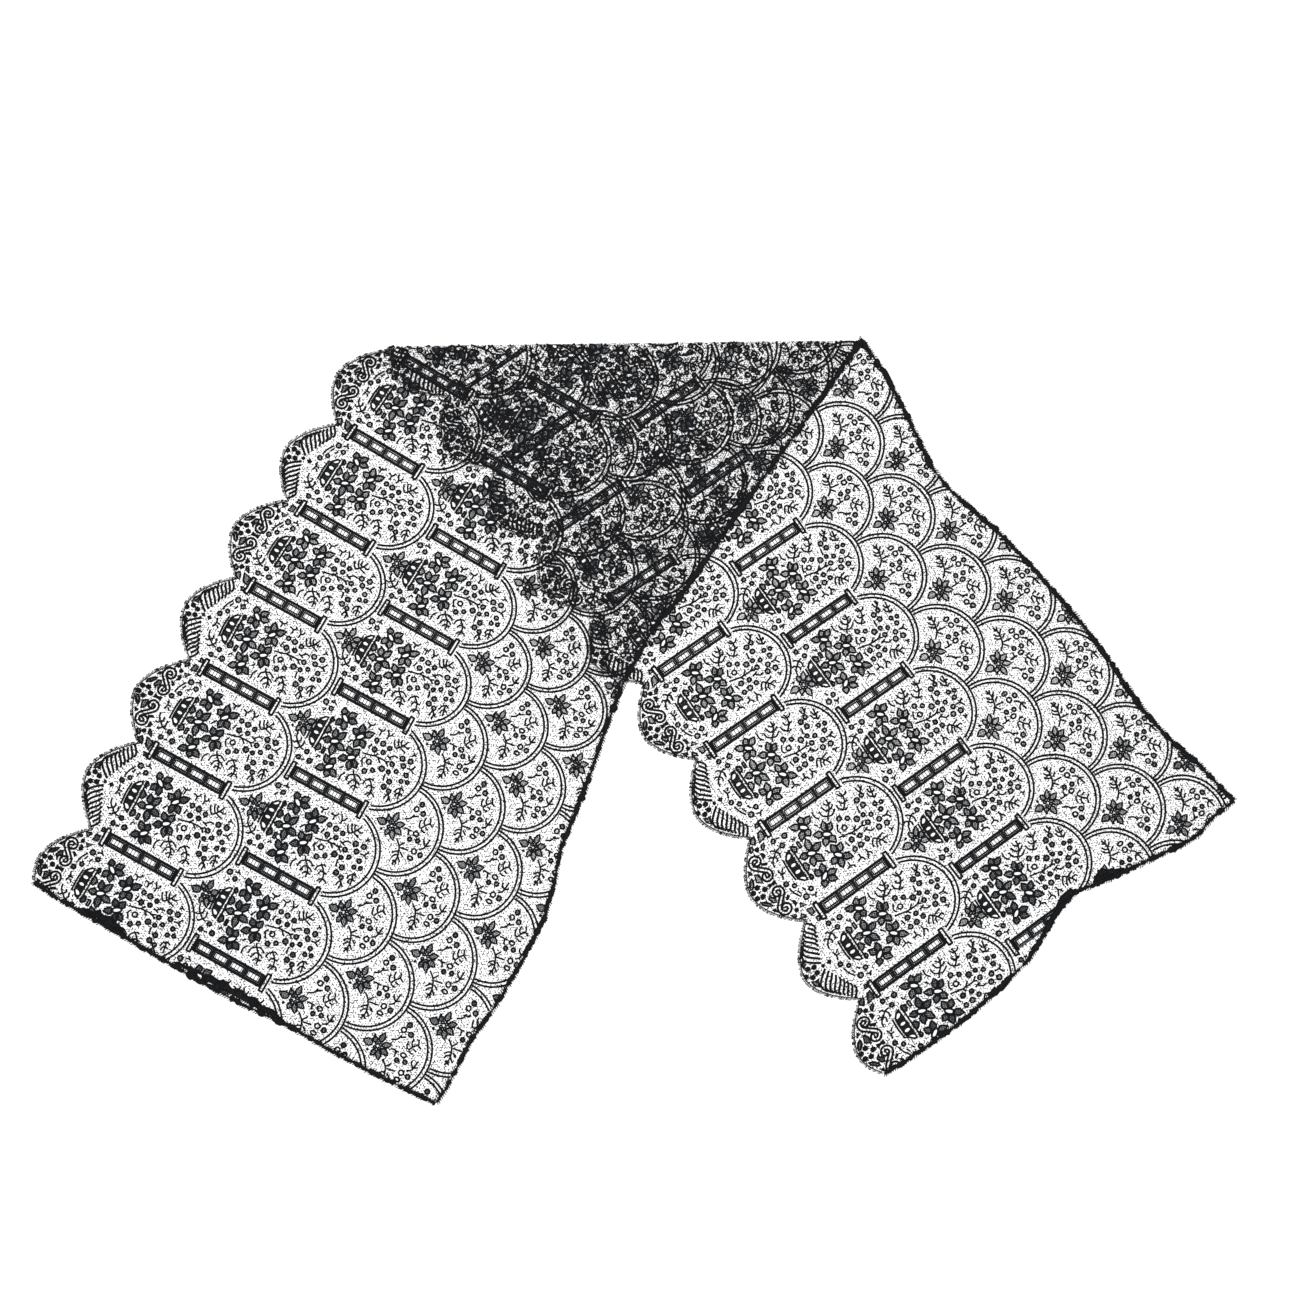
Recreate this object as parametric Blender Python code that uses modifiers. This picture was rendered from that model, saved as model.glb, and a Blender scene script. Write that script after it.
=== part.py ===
"""Lace mantilla: one long strip of black lace, folded once and laid flat on a surface.

The strip has a scalloped border along one side and narrow rolled hems along the other three.
It is drawn flat, as the lace maker's chart has it, by two numbers: `at`, counted in scallops
along the strip, and `across`, in millimetres from the scallop line towards the plain side.
Short tables then say where each scallop lies on the surface. The fold parts the strip into an
upper and a lower stretch, and the upper one steps down to the surface outside the lower one.
"""
import math
from collections import namedtuple

import bmesh
import bpy
from mathutils import Vector
from mathutils.geometry import intersect_line_line_2d

MM = 0.001

# The cloth and its hems.
WALL = 1.2              # thickness of the lace
SEAM = 0.3              # gap between pieces that touch
LAYER_RISE = WALL + SEAM
HEM_WIDTH = 6.0         # rolled hem, over its full width
HEM_HEIGHT = 2.6
HEM_FOOT = 0.75         # flat underside of a hem, as a share of its width
HEM_SIDE = 0.4          # height of a hem's widest place, as a share of its full height
HEM_SHOULDER = (0.72, 0.84)  # where its top rounds off, as shares of half width and height
CORNER_GAP = 1.2        # between two hems at a corner
MERGE = 0.0001 * MM

# The chart of the lace, in millimetres.
REPEAT = 100.0          # one scallop along the strip
VALLEY = 22.0           # how far outside the scallop line two scallops meet
SCROLL_DEPTH = 32.0     # a scroll scallop's tip, past the valleys
STRIPE_DEPTH = 29.0     # a striped scallop's tip, past the valleys
SCROLL_ROUND = 1.8      # exponent: higher is a fuller scallop
STRIPE_ROUND = 1.5
SCALLOP_POINTS = 12
MID, FAR = 256.0, 406.0  # two lines of the chart, whose laid distance the tables give
SECOND_COLUMN = 133.0    # the second column of large compartments, half a repeat along
BLOSSOM_EYE = (8.6, 4.8)  # the open eye of a blossom
BASKET_EYE = (6.0, 4.6)   # one of the four gaps in a basket
BASKET_ACROSS = 0.8
BASKET_EYES = 4
BASKET_PITCH = 8.8
BASKET_SHIFT = 1.2
EYE_SIDES = 6
EYE_LAND = 4.0          # lace left between an eye and the cut edge

# Where each scallop lies: a point of the scallop line, the direction across the strip, and
# how far from that line the chart's MID and FAR lines lie, since handling draws the lace in.
Station = namedtuple("Station", "at x y turn mid far")
UPPER_LAY = [
    Station(-1, -605, -211, -29.1, 262, 413),
    Station(0, -552, -121, -29.1, 261, 411),
    Station(1, -502, -30, -28.8, 262, 405),
    Station(2, -449, 57, -28.6, 257, 398),
    Station(3, -400, 143, -28.8, 255, 394),
    Station(4, -347, 224, -29.8, 251, 387),
    Station(5, -294, 304, -30.2, 247, 383),
    Station(6, -241, 382, -30.2, 244, 380),
    Station(7, -190, 461, -30.2, 242, 378),
    Station(8, -140, 539, -30.2, 242, 378),
    Station(9, -89, 618, -30.2, 242, 378),
]
LOWER_LAY = [
    Station(6, -233, 430, 34.0, 246, 380),
    Station(7, -180, 354, 34.0, 246, 380),
    Station(8, -129, 279, 34.0, 246, 380),
    Station(9, -78, 206, 34.0, 246, 380),
    Station(10, -24, 129, 34.0, 246, 381),
    Station(11, 28, 53, 34.1, 247, 382),
    Station(12, 83, -26, 34.7, 251, 387),
    Station(13, 140, -109, 35.2, 257, 395),
    Station(14, 198, -195, 35.9, 262, 402),
    Station(15, 255, -277, 36.2, 268, 409),
    Station(16, 313, -360, 36.2, 270, 412),
]

# The outer side of each rolled hem, on the chart.
Mark = namedtuple("Mark", "at across")
UPPER_HEAD = [
    Mark(-0.95, 432), Mark(-0.54, 436), Mark(0.0, 434), Mark(0.46, 443), Mark(0.9, 449),
    Mark(1.4, 450), Mark(1.8, 441), Mark(2.1, 431), Mark(2.9, 423), Mark(3.5, 413),
    Mark(4.1, 404), Mark(4.7, 401), Mark(5.3, 408), Mark(6.3, 412), Mark(7.5, 421),
    Mark(8.8, 427), Mark(9.0, 428),
]
LOWER_HEAD = [
    Mark(15.8, 424), Mark(15.5, 416), Mark(15.1, 411), Mark(14.7, 402), Mark(14.3, 400),
    Mark(13.7, 405), Mark(13.1, 406), Mark(12.3, 402), Mark(11.8, 397), Mark(11.15, 383),
    Mark(10.8, 381), Mark(10.46, 387), Mark(10.0, 394), Mark(9.6, 400), Mark(9.2, 400),
    Mark(8.6, 398),
]
UPPER_END = [
    Mark(-0.75, -62), Mark(-0.80, -15), Mark(-0.81, 50), Mark(-0.83, 150), Mark(-0.83, 205),
    Mark(-0.79, 260), Mark(-0.80, 310), Mark(-0.79, 362), Mark(-0.76, 420), Mark(-0.74, 450),
]
LOWER_END = [
    Mark(15.77, -62), Mark(15.83, -20), Mark(15.84, 10), Mark(15.84, 50), Mark(15.80, 95),
    Mark(15.74, 135), Mark(15.60, 167), Mark(15.50, 192), Mark(15.46, 218), Mark(15.55, 250),
    Mark(15.63, 293), Mark(15.71, 337), Mark(15.73, 360), Mark(15.67, 384), Mark(15.66, 440),
]
MARK_STEPS = 3          # points drawn between two marks

# Gaps of one large compartment, from its middle: millimetres along and across, and the turn
# of the long way of each blossom's eye from the across direction.
Eye = namedtuple("Eye", "along across turn")
BLOSSOMS = [
    Eye(-28, 32.5, 45), Eye(-8, 46.5, 33), Eye(-2, 23, 22), Eye(14, 43.5, 54),
    Eye(23.5, 22, -35),
]

# The fold: its outer edge as laid, and the half turn of the cloth there.
FOLD_HEIGHT = 399.1     # at x = 0
FOLD_SLOPE = 0.0125
FOLD_RADIUS = LAYER_RISE / 2
FOLD_STEPS = 6
FOLD_REACH = 500.0      # half the length of the line that stands for the fold
UPPER_PAST_FOLD = 6.6   # the chart goes on past the fold before it is cut there
LOWER_PAST_FOLD = 6.0
HEM_FOLD_GAP = 1.0      # from the fold to the end of the upper head hem
UNDER_HEM_GAP = 2.2     # from the upper head hem to the start of the lower one

# The upper stretch comes down to the surface outside the lower one's scallop tips.
STEP_STATIONS = (7, 11)  # two scallops of the lower lay that give the line's direction
STEP_START = 60.0       # from the scallop line to where the cloth starts down
STEP_WIDTH = 18.0
STEP_ROWS = 4

LACE_COLOUR = (0.012, 0.013, 0.016, 1.0)
HEM_COLOUR = (0.008, 0.008, 0.010, 1.0)


# ---------------------------------------------------------------- the chart and the lay

def blend(rows, i, f):
    """All columns at the fraction f between rows i and i + 1, on a smooth curve."""
    last = len(rows) - 1
    p1, p2 = Vector(rows[i]), Vector(rows[i + 1])
    p0 = Vector(rows[i - 1]) if i > 0 else 2 * p1 - p2
    p3 = Vector(rows[i + 2]) if i + 2 <= last else 2 * p2 - p1
    bend = (p2 - p0) * f + (2 * p0 - 5 * p1 + 4 * p2 - p3) * f ** 2
    return p1 + 0.5 * (bend + (3 * p1 - 3 * p2 + p3 - p0) * f ** 3)


def lay(rows, at, across):
    """The laid place, in millimetres, of a point of the chart."""
    i = max(0, min(len(rows) - 2, int(at - rows[0].at)))
    row = Station(*blend(rows, i, at - rows[i].at))
    drawn = (row.far / FAR - row.mid / MID) / (FAR - MID)
    reach = (row.mid / MID - MID * drawn) * across + drawn * across ** 2
    angle = math.radians(row.turn)
    return Vector((row.x + reach * math.cos(angle), row.y + reach * math.sin(angle)))


def border_across(at):
    """Where the scalloped border ends: scroll scallops and striped ones take turns."""
    scallop = math.floor(at)
    scroll = scallop % 2 == 1
    depth = SCROLL_DEPTH if scroll else STRIPE_DEPTH
    fullness = SCROLL_ROUND if scroll else STRIPE_ROUND
    from_tip = abs(2 * (at - scallop) - 1)
    return -VALLEY - depth * (1 - from_tip ** fullness)


def border_path(rows, start, end):
    """The scalloped border as laid, from one place along the strip to another."""
    first, last = round(start * SCALLOP_POINTS), round(end * SCALLOP_POINTS)
    stride = 1 if last > first else -1
    ats = [i / SCALLOP_POINTS for i in range(first, last + stride, stride)]
    return [lay(rows, at, border_across(at)) for at in ats]


def hem_path(rows, marks):
    """The outer side of a hem as laid: a smooth curve through its marks."""
    places = [blend(marks, i, j / MARK_STEPS)
              for i in range(len(marks) - 1) for j in range(MARK_STEPS)]
    places.append(Vector(marks[-1]))
    return [lay(rows, at, across) for at, across in places]


# ---------------------------------------------------------------- paths on the surface

def moved_left(path, distance):
    """The path moved sideways to its left, where the cloth lies."""
    moved = []
    for i, point in enumerate(path):
        along = (path[min(i + 1, len(path) - 1)] - path[max(i - 1, 0)]).normalized()
        moved.append(point + distance * Vector((-along.y, along.x)))
    return moved


def joined_at_crossing(first, second):
    """The first path up to where the two cross, and the second one from there."""
    for i in range(len(first) - 1):
        for j in range(len(second) - 1):
            point = intersect_line_line_2d(first[i], first[i + 1], second[j], second[j + 1])
            if point is not None:
                return first[:i + 1] + [point], [point] + second[j + 1:]
    raise ValueError("these paths don't cross")


def fold_path(inward):
    """The fold's outer edge, moved in towards the cloth by a distance."""
    ends = [Vector((x, FOLD_HEIGHT + FOLD_SLOPE * x)) for x in (FOLD_REACH, -FOLD_REACH)]
    return moved_left(ends, inward)


def is_inside(point, ring):
    """Whether a closed ring of points holds the point."""
    inside = False
    for a, b in zip(ring, ring[1:] + ring[:1]):
        if (a.y > point.y) != (b.y > point.y):
            inside ^= point.x < a.x + (b.x - a.x) * (point.y - a.y) / (b.y - a.y)
    return inside


def step_line():
    """The lower stretch's scallop line: a point on it, and the way out across the border."""
    start, end = (lay(LOWER_LAY, at, 0) for at in STEP_STATIONS)
    along = (end - start).normalized()
    return start, Vector((along.y, -along.x))


def upper_rise(point):
    """How high the upper stretch lies: on the lower one, then down to the surface."""
    start, outward = step_line()
    f = ((point - start).dot(outward) - STEP_START) / STEP_WIDTH
    f = max(0.0, min(1.0, f))
    return LAYER_RISE * (1 - f * f * (3 - 2 * f))


def lower_rise(_point):
    """The lower stretch lies on the surface."""
    return 0.0


# ---------------------------------------------------------------- the two stretches of lace

def stretch_ring(lay_rows, head_marks, end_marks, past_fold):
    """The cut edge of a stretch: along its end, up its head side, and back by the border."""
    inset = HEM_WIDTH + SEAM
    end_side = moved_left(hem_path(lay_rows, end_marks), inset)
    head_side = moved_left(hem_path(lay_rows, head_marks), inset)
    border = border_path(lay_rows, past_fold, round(end_marks[0].at))
    end_side, head_side = joined_at_crossing(end_side, head_side)
    border, end_side = joined_at_crossing(border, end_side)
    return end_side[:-1] + head_side + border[:-1]


def oval_gap(lay_rows, at, across, size, turn):
    """A long gap of few sides, its long way turned from the across direction."""
    ring = []
    for i in range(EYE_SIDES):
        angle = 2 * math.pi * i / EYE_SIDES
        long_way, short_way = size[0] / 2 * math.cos(angle), size[1] / 2 * math.sin(angle)
        c, s = math.cos(turn), math.sin(turn)
        ring.append(lay(lay_rows, at + (long_way * s + short_way * c) / REPEAT,
                        across + long_way * c - short_way * s))
    return ring


def compartment_gaps(lay_rows, at, across):
    """The open eyes of one large compartment: its blossoms and its basket."""
    gaps = [oval_gap(lay_rows, at + eye.along / REPEAT, across + eye.across, BLOSSOM_EYE,
                     math.radians(eye.turn)) for eye in BLOSSOMS]
    for i in range(BASKET_EYES):
        along = BASKET_SHIFT + BASKET_PITCH * (i - (BASKET_EYES - 1) / 2)
        gaps.append(oval_gap(lay_rows, at + along / REPEAT, across + BASKET_ACROSS,
                             BASKET_EYE, 0.0))
    return gaps


def stretch_gaps(lay_rows, ring, fold_inset):
    """Every gap of a stretch that lies whole within its cut edge and its fold."""
    first, last = int(lay_rows[0].at), int(lay_rows[-1].at)
    fold_side = fold_path(fold_inset + EYE_LAND)
    fold_way = (fold_side[1] - fold_side[0]).normalized()
    gaps = []
    for scallop in range(first, last + 1):
        gaps += compartment_gaps(lay_rows, scallop + 0.5, 0.0)
        gaps += compartment_gaps(lay_rows, scallop, SECOND_COLUMN)
    kept = []
    for gap in gaps:
        middle = sum(gap, Vector((0, 0))) / len(gap)
        reach = [middle + (point - middle) * (1 + EYE_LAND / (point - middle).length)
                 for point in gap]
        below_fold = all(fold_way.cross(point - fold_side[0]) > 0 for point in reach)
        if below_fold and all(is_inside(point, ring) for point in reach):
            kept.append(gap)
    return kept


def swept_mesh(curve):
    """The mesh that a curve makes, its doubled points merged and its faces turned out."""
    guide = bpy.data.objects.new(curve.name, curve)
    bpy.context.scene.collection.objects.link(guide)
    depsgraph = bpy.context.evaluated_depsgraph_get()
    mesh = bpy.data.meshes.new_from_object(guide.evaluated_get(depsgraph))
    bpy.data.objects.remove(guide)
    bm = bmesh.new()
    bm.from_mesh(mesh)
    bmesh.ops.remove_doubles(bm, verts=bm.verts, dist=MERGE)
    bmesh.ops.recalc_face_normals(bm, faces=bm.faces)
    bm.to_mesh(mesh)
    bm.free()
    return mesh


def filled(rings):
    """A flat mesh of the first ring, with the other rings as gaps in it."""
    curve = bpy.data.curves.new("cut_lines", "CURVE")
    curve.dimensions = "2D"
    curve.fill_mode = "BOTH"
    for ring in rings:
        spline = curve.splines.new("POLY")
        spline.points.add(len(ring) - 1)
        for point, place in zip(spline.points, ring):
            point.co = (place.x * MM, place.y * MM, 0.0, 1.0)
        spline.use_cyclic_u = True
    return swept_mesh(curve)


def bisected(bm, place, normal, clear_outer=False):
    """Cut the sheet along a line on the surface, and drop what lies past it if asked."""
    everything = bm.verts[:] + bm.edges[:] + bm.faces[:]
    return bmesh.ops.bisect_plane(
        bm, geom=everything, dist=MERGE, plane_co=(place.x * MM, place.y * MM, 0),
        plane_no=(normal.x, normal.y, 0), clear_outer=clear_outer)["geom_cut"]


def turned_under(bm, fold_edges, axis_place, axis):
    """The half turn of the cloth at the fold, from the upper stretch to below it."""
    bmesh.ops.spin(
        bm, geom=fold_edges, cent=(axis_place.x * MM, axis_place.y * MM, -FOLD_RADIUS * MM),
        axis=(axis.x, axis.y, 0), angle=math.pi, steps=FOLD_STEPS, use_duplicate=False)


def lace_stretch(name, lay_rows, head_marks, end_marks, past_fold, rise, turns, material):
    """One stretch of the lace: a thin wall with its border, its gaps and its fold side."""
    ring = stretch_ring(lay_rows, head_marks, end_marks, past_fold)
    turn_inset = FOLD_RADIUS + WALL / 2
    fold_inset = turn_inset if turns else turn_inset + SEAM
    mesh = filled([ring] + stretch_gaps(lay_rows, ring, fold_inset))
    mesh.name = name
    bm = bmesh.new()
    bm.from_mesh(mesh)

    start, end = fold_path(fold_inset)
    fold_way = (end - start).normalized()
    away = Vector((fold_way.y, -fold_way.x))
    fold_cut = bisected(bm, start, away, clear_outer=True)
    fold_edges = [item for item in fold_cut if isinstance(item, bmesh.types.BMEdge)]
    if turns:
        turned_under(bm, fold_edges, start, fold_way)
        line_start, outward = step_line()
        for row in range(STEP_ROWS + 1):
            distance = STEP_START + STEP_WIDTH * row / STEP_ROWS
            bisected(bm, line_start + distance * outward, outward)
    middle = WALL / 2
    for vert in bm.verts:
        place = Vector((vert.co.x / MM, vert.co.y / MM))
        vert.co.z += (middle + rise(place)) * MM
    bmesh.ops.recalc_face_normals(bm, faces=bm.faces)
    bm.to_mesh(mesh)
    bm.free()

    sheet = bpy.data.objects.new(name, mesh)
    wall = sheet.modifiers.new("wall", "SOLIDIFY")
    wall.thickness = WALL * MM
    wall.offset = 0.0
    wall.use_quality_normals = True
    sheet.data.materials.append(material)
    return sheet


# ---------------------------------------------------------------- the rolled hems

def hem_section():
    """The cut through a rolled hem: rounded above, flat where it rests."""
    half, foot, side = HEM_WIDTH / 2, HEM_FOOT * HEM_WIDTH / 2, HEM_SIDE * HEM_HEIGHT
    shoulder, rounding = HEM_SHOULDER[0] * half, HEM_SHOULDER[1] * HEM_HEIGHT
    sides = [(-foot, 0.0), (foot, 0.0), (half, side), (shoulder, rounding), (0.0, HEM_HEIGHT),
             (-shoulder, rounding), (-half, side)]
    curve = bpy.data.curves.new("hem_section", "CURVE")
    curve.dimensions = "2D"
    spline = curve.splines.new("POLY")
    spline.points.add(len(sides) - 1)
    for point, (x, y) in zip(spline.points, sides):
        point.co = (x * MM, y * MM, 0.0, 1.0)
    spline.use_cyclic_u = True
    return bpy.data.objects.new("hem_section", curve)


def rolled_hem(name, path, rise, section, material):
    """A rolled hem along a path on the cloth's edge."""
    curve = bpy.data.curves.new(name, "CURVE")
    curve.dimensions = "3D"
    curve.twist_mode = "Z_UP"
    curve.bevel_mode = "OBJECT"
    curve.bevel_object = section
    curve.use_fill_caps = True
    spline = curve.splines.new("POLY")
    spline.points.add(len(path) - 1)
    for point, place in zip(spline.points, path):
        point.co = (place.x * MM, place.y * MM, rise(place) * MM, 1.0)
    hem = bpy.data.objects.new(name, swept_mesh(curve))
    hem.data.shade_smooth()
    hem.data.materials.append(material)
    return hem


def hem_middles(lay_rows, head_marks, end_marks, past_fold, head_limit):
    """The middle lines of a stretch's end hem and head hem, clear of each other."""
    half = HEM_WIDTH / 2
    end_outer, head_outer = hem_path(lay_rows, end_marks), hem_path(lay_rows, head_marks)
    end_middle, head_middle = moved_left(end_outer, half), moved_left(head_outer, half)
    border = border_path(lay_rows, past_fold, round(end_marks[0].at))
    _, end_middle = joined_at_crossing(border, end_middle)
    end_middle, _ = joined_at_crossing(end_middle, moved_left(head_outer, CORNER_GAP))
    past_end_hem = moved_left(end_outer, HEM_WIDTH + CORNER_GAP)
    _, head_middle = joined_at_crossing(past_end_hem, head_middle)
    head_middle, _ = joined_at_crossing(head_middle, head_limit)
    return end_middle, head_middle


# ---------------------------------------------------------------- materials and the whole

def fabric(name, colour, roughness):
    """Dull black thread."""
    material = bpy.data.materials.new(name)
    material.diffuse_color = colour
    material.use_nodes = True
    shader = material.node_tree.nodes["Principled BSDF"]
    shader.inputs["Base Color"].default_value = colour
    shader.inputs["Roughness"].default_value = roughness
    shader.inputs["Metallic"].default_value = 0.0
    return material


def main():
    for old in list(bpy.data.objects):
        bpy.data.objects.remove(old)
    parts = bpy.data.collections.new("lace_mantilla")
    guides = bpy.data.collections.new("guides")
    for group in (parts, guides):
        bpy.context.scene.collection.children.link(group)
    lace = fabric("black_lace", LACE_COLOUR, 0.75)
    rolled = fabric("rolled_lace", HEM_COLOUR, 0.8)
    section = hem_section()
    section.hide_render = True
    section.display_type = "WIRE"
    guides.objects.link(section)

    parts.objects.link(lace_stretch("upper_fall", UPPER_LAY, UPPER_HEAD, UPPER_END,
                                    UPPER_PAST_FOLD, upper_rise, True, lace))
    parts.objects.link(lace_stretch("lower_fall", LOWER_LAY, LOWER_HEAD, LOWER_END,
                                    LOWER_PAST_FOLD, lower_rise, False, lace))

    upper_end, upper_head = hem_middles(UPPER_LAY, UPPER_HEAD, UPPER_END, UPPER_PAST_FOLD,
                                        fold_path(HEM_FOLD_GAP))
    under_limit = moved_left(hem_path(UPPER_LAY, UPPER_HEAD), -UNDER_HEM_GAP)
    lower_end, lower_head = hem_middles(LOWER_LAY, LOWER_HEAD, LOWER_END, LOWER_PAST_FOLD,
                                        under_limit)
    for name, path, rise in (("upper_end_hem", upper_end, upper_rise),
                             ("upper_head_hem", upper_head, upper_rise),
                             ("lower_end_hem", lower_end, lower_rise),
                             ("lower_head_hem", lower_head, lower_rise)):
        parts.objects.link(rolled_hem(name, path, rise, section, rolled))


main()
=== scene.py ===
"""Looks of a lace mantilla: one long strip of black machine lace, folded once and laid flat.

Everything on the lace is drawn on its chart, as the lace maker has it: `along` and `across`, in
millimetres from the scallop line. One repeat is drawn once. The lay then carries every repeat to
where it rests on the surface, over the fold and down the step between the two stretches.
"""
import math
from collections import namedtuple

import bmesh
import bpy
import numpy as np
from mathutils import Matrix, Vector
from mathutils.geometry import delaunay_2d_cdt


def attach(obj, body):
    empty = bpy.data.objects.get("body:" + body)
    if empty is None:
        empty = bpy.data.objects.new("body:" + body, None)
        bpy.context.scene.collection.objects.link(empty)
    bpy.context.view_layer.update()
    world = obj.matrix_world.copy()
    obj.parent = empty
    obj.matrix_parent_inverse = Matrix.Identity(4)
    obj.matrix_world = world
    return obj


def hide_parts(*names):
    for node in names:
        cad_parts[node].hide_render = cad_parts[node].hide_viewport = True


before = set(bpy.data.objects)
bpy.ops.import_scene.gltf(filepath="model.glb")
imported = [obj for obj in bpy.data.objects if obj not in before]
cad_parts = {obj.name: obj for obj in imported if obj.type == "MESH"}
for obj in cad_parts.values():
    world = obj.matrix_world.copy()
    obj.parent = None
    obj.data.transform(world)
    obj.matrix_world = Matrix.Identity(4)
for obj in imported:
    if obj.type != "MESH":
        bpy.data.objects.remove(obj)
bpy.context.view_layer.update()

MM = 0.001

# ---------------------------------------------------------------- sizes of the laid lace, in mm

REPEAT = 100.0           # one scallop along the strip
VALLEY = 18.5            # how far outside the scallop line two scallops meet
SCROLL_DEPTH = 32.0      # a scroll scallop's tip, past the valleys
STRIPE_DEPTH = 32.8      # a striped scallop's tip, past the valleys
SCALLOP_ROUND = 1.85     # the power that rounds a scallop off towards its tip
MID, FAR = 256.0, 406.0  # two lines of the chart, whose laid distance the tables give
SECOND_COLUMN = 132.5    # the second column of large compartments, half a repeat along
ARC_ACROSS = 73.6        # centre of a compartment's closing arc, from its own line
DAISY_ACROSS = 116.0     # the daisy between two compartments of the first column
DAISY_TO_ARC = 7.0       # from a scale's daisy to the centre of its arc
SCALE_PITCH = 50.0       # from one row of fish scales to the next
SCALE_ROWS = 5

CLOTH_MIDDLE = 0.35      # height of the middle of the lace above what it lies on
LACE_THICK = 0.15        # the lace net, through
LAYER_RISE = 1.0         # the upper stretch above the lower one
HEM_WIDTH, HEM_HEIGHT = 6.0, 2.6
NET_INSET = 3.0          # the lace ends in the middle of each rolled hem
BORDER_REACH = 62.0      # no scallop reaches further out than this
HEAD_REACH = 450.0       # and no long hem lies further in

# The lay of each stretch, a row for each repeat: its number, x and y of the scallop line, the turn
# of the way across, and how far MID and FAR of the chart then lie from the scallop line.
UPPER_LAY = [
    (-1, -605, -211, -29.1, 262, 413),
    (0, -552, -121, -29.1, 261, 411),
    (1, -502, -30, -28.8, 262, 405),
    (2, -449, 57, -28.6, 257, 398),
    (3, -400, 143, -28.8, 255, 394),
    (4, -347, 224, -29.8, 251, 387),
    (5, -294, 304, -30.2, 247, 383),
    (6, -241, 382, -30.2, 244, 380),
    (7, -190, 461, -30.2, 242, 378),
    (8, -140, 539, -30.2, 242, 378),
    (9, -89, 618, -30.2, 242, 378),
]
LOWER_LAY = [
    (6, -233, 430, 34.0, 246, 380),
    (7, -180, 354, 34.0, 246, 380),
    (8, -129, 279, 34.0, 246, 380),
    (9, -78, 206, 34.0, 246, 380),
    (10, -24, 129, 34.0, 246, 381),
    (11, 28, 53, 34.1, 247, 382),
    (12, 83, -26, 34.7, 251, 387),
    (13, 140, -109, 35.2, 257, 395),
    (14, 198, -195, 35.9, 262, 402),
    (15, 255, -277, 36.2, 268, 409),
    (16, 313, -360, 36.2, 270, 412),
]

# The outer sides of the hems. Each mark is a place along in repeats, and a distance across.
UPPER_HEAD = [
    (-0.95, 432), (-0.54, 436), (0.0, 434), (0.46, 443), (0.9, 449),
    (1.4, 450), (1.8, 441), (2.1, 431), (2.9, 423), (3.5, 413),
    (4.1, 404), (4.7, 401), (5.3, 408), (6.3, 412), (7.5, 421),
    (8.8, 427), (9.0, 428), (9.4, 430),
]
LOWER_HEAD = [
    (8.2, 397), (8.6, 398), (9.2, 400), (9.6, 400), (10.0, 394),
    (10.46, 387), (10.8, 381), (11.15, 383), (11.8, 397), (12.3, 402),
    (13.1, 406), (13.7, 405), (14.3, 400), (14.7, 402), (15.1, 411),
    (15.5, 416), (15.8, 424),
]
UPPER_END = [
    (-0.75, -62), (-0.80, -15), (-0.81, 50), (-0.83, 150), (-0.83, 205),
    (-0.79, 260), (-0.80, 310), (-0.79, 362), (-0.76, 420), (-0.74, 455),
]
LOWER_END = [
    (15.77, -62), (15.83, -20), (15.84, 10), (15.84, 50), (15.80, 95),
    (15.74, 135), (15.60, 167), (15.50, 192), (15.46, 218), (15.55, 250),
    (15.63, 293), (15.71, 337), (15.73, 360), (15.67, 384), (15.66, 440),
]

FOLD_HEIGHT = 399.1      # outer edge of the fold at x = 0
FOLD_SLOPE = 0.0125      # its rise along x
FOLD_RADIUS = LAYER_RISE / 2
FOLD_STEPS = 6           # strips of cloth round the half turn
FOLD_SEAM = 0.3          # the lower stretch ends this far short of the half turn
THREADS_TURN = 0.6       # the share of the half turn that the raised threads follow

# The upper stretch comes down off the lower one's border, along the line of these two repeats.
STEP_STATIONS = (7, 11)
STEP_START = 60.0        # from the lower one's scallop line out
STEP_WIDTH = 18.0
STEP_ROWS = 4            # strips of cloth down the step

# A stretch of lace: its lay, the outer sides of its hems, the way along the strip from its loose
# end to the fold, the strip places at its loose end and past the fold, and whether it turns under.
Stretch = namedtuple("Stretch", "name rows head end way loose past turns")
UPPER = Stretch("upper", UPPER_LAY, UPPER_HEAD, UPPER_END, 1, -1.0, 9.3, True)
LOWER = Stretch("lower", LOWER_LAY, LOWER_HEAD, LOWER_END, -1, 16.0, 5.8, False)


# ---------------------------------------------------------------- the lay

def blended(rows, at):
    """All columns of a table at places along it, on a smooth curve through its rows."""
    table = np.array(rows, float)
    at = np.atleast_1d(np.asarray(at, float))
    last = len(table) - 1
    i = np.clip(np.searchsorted(table[:, 0], at, side="right") - 1, 0, last - 1)
    p1, p2 = table[i], table[i + 1]
    p0 = np.where((i > 0)[:, None], table[np.maximum(i - 1, 0)], 2 * p1 - p2)
    p3 = np.where((i + 2 <= last)[:, None], table[np.minimum(i + 2, last)], 2 * p2 - p1)
    f = ((at - p1[:, 0]) / (p2[:, 0] - p1[:, 0]))[:, None]
    bend = (p2 - p0) * f + (2 * p0 - 5 * p1 + 4 * p2 - p3) * f ** 2
    return p1 + 0.5 * (bend + (3 * p1 - 3 * p2 + p3 - p0) * f ** 3)


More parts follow.
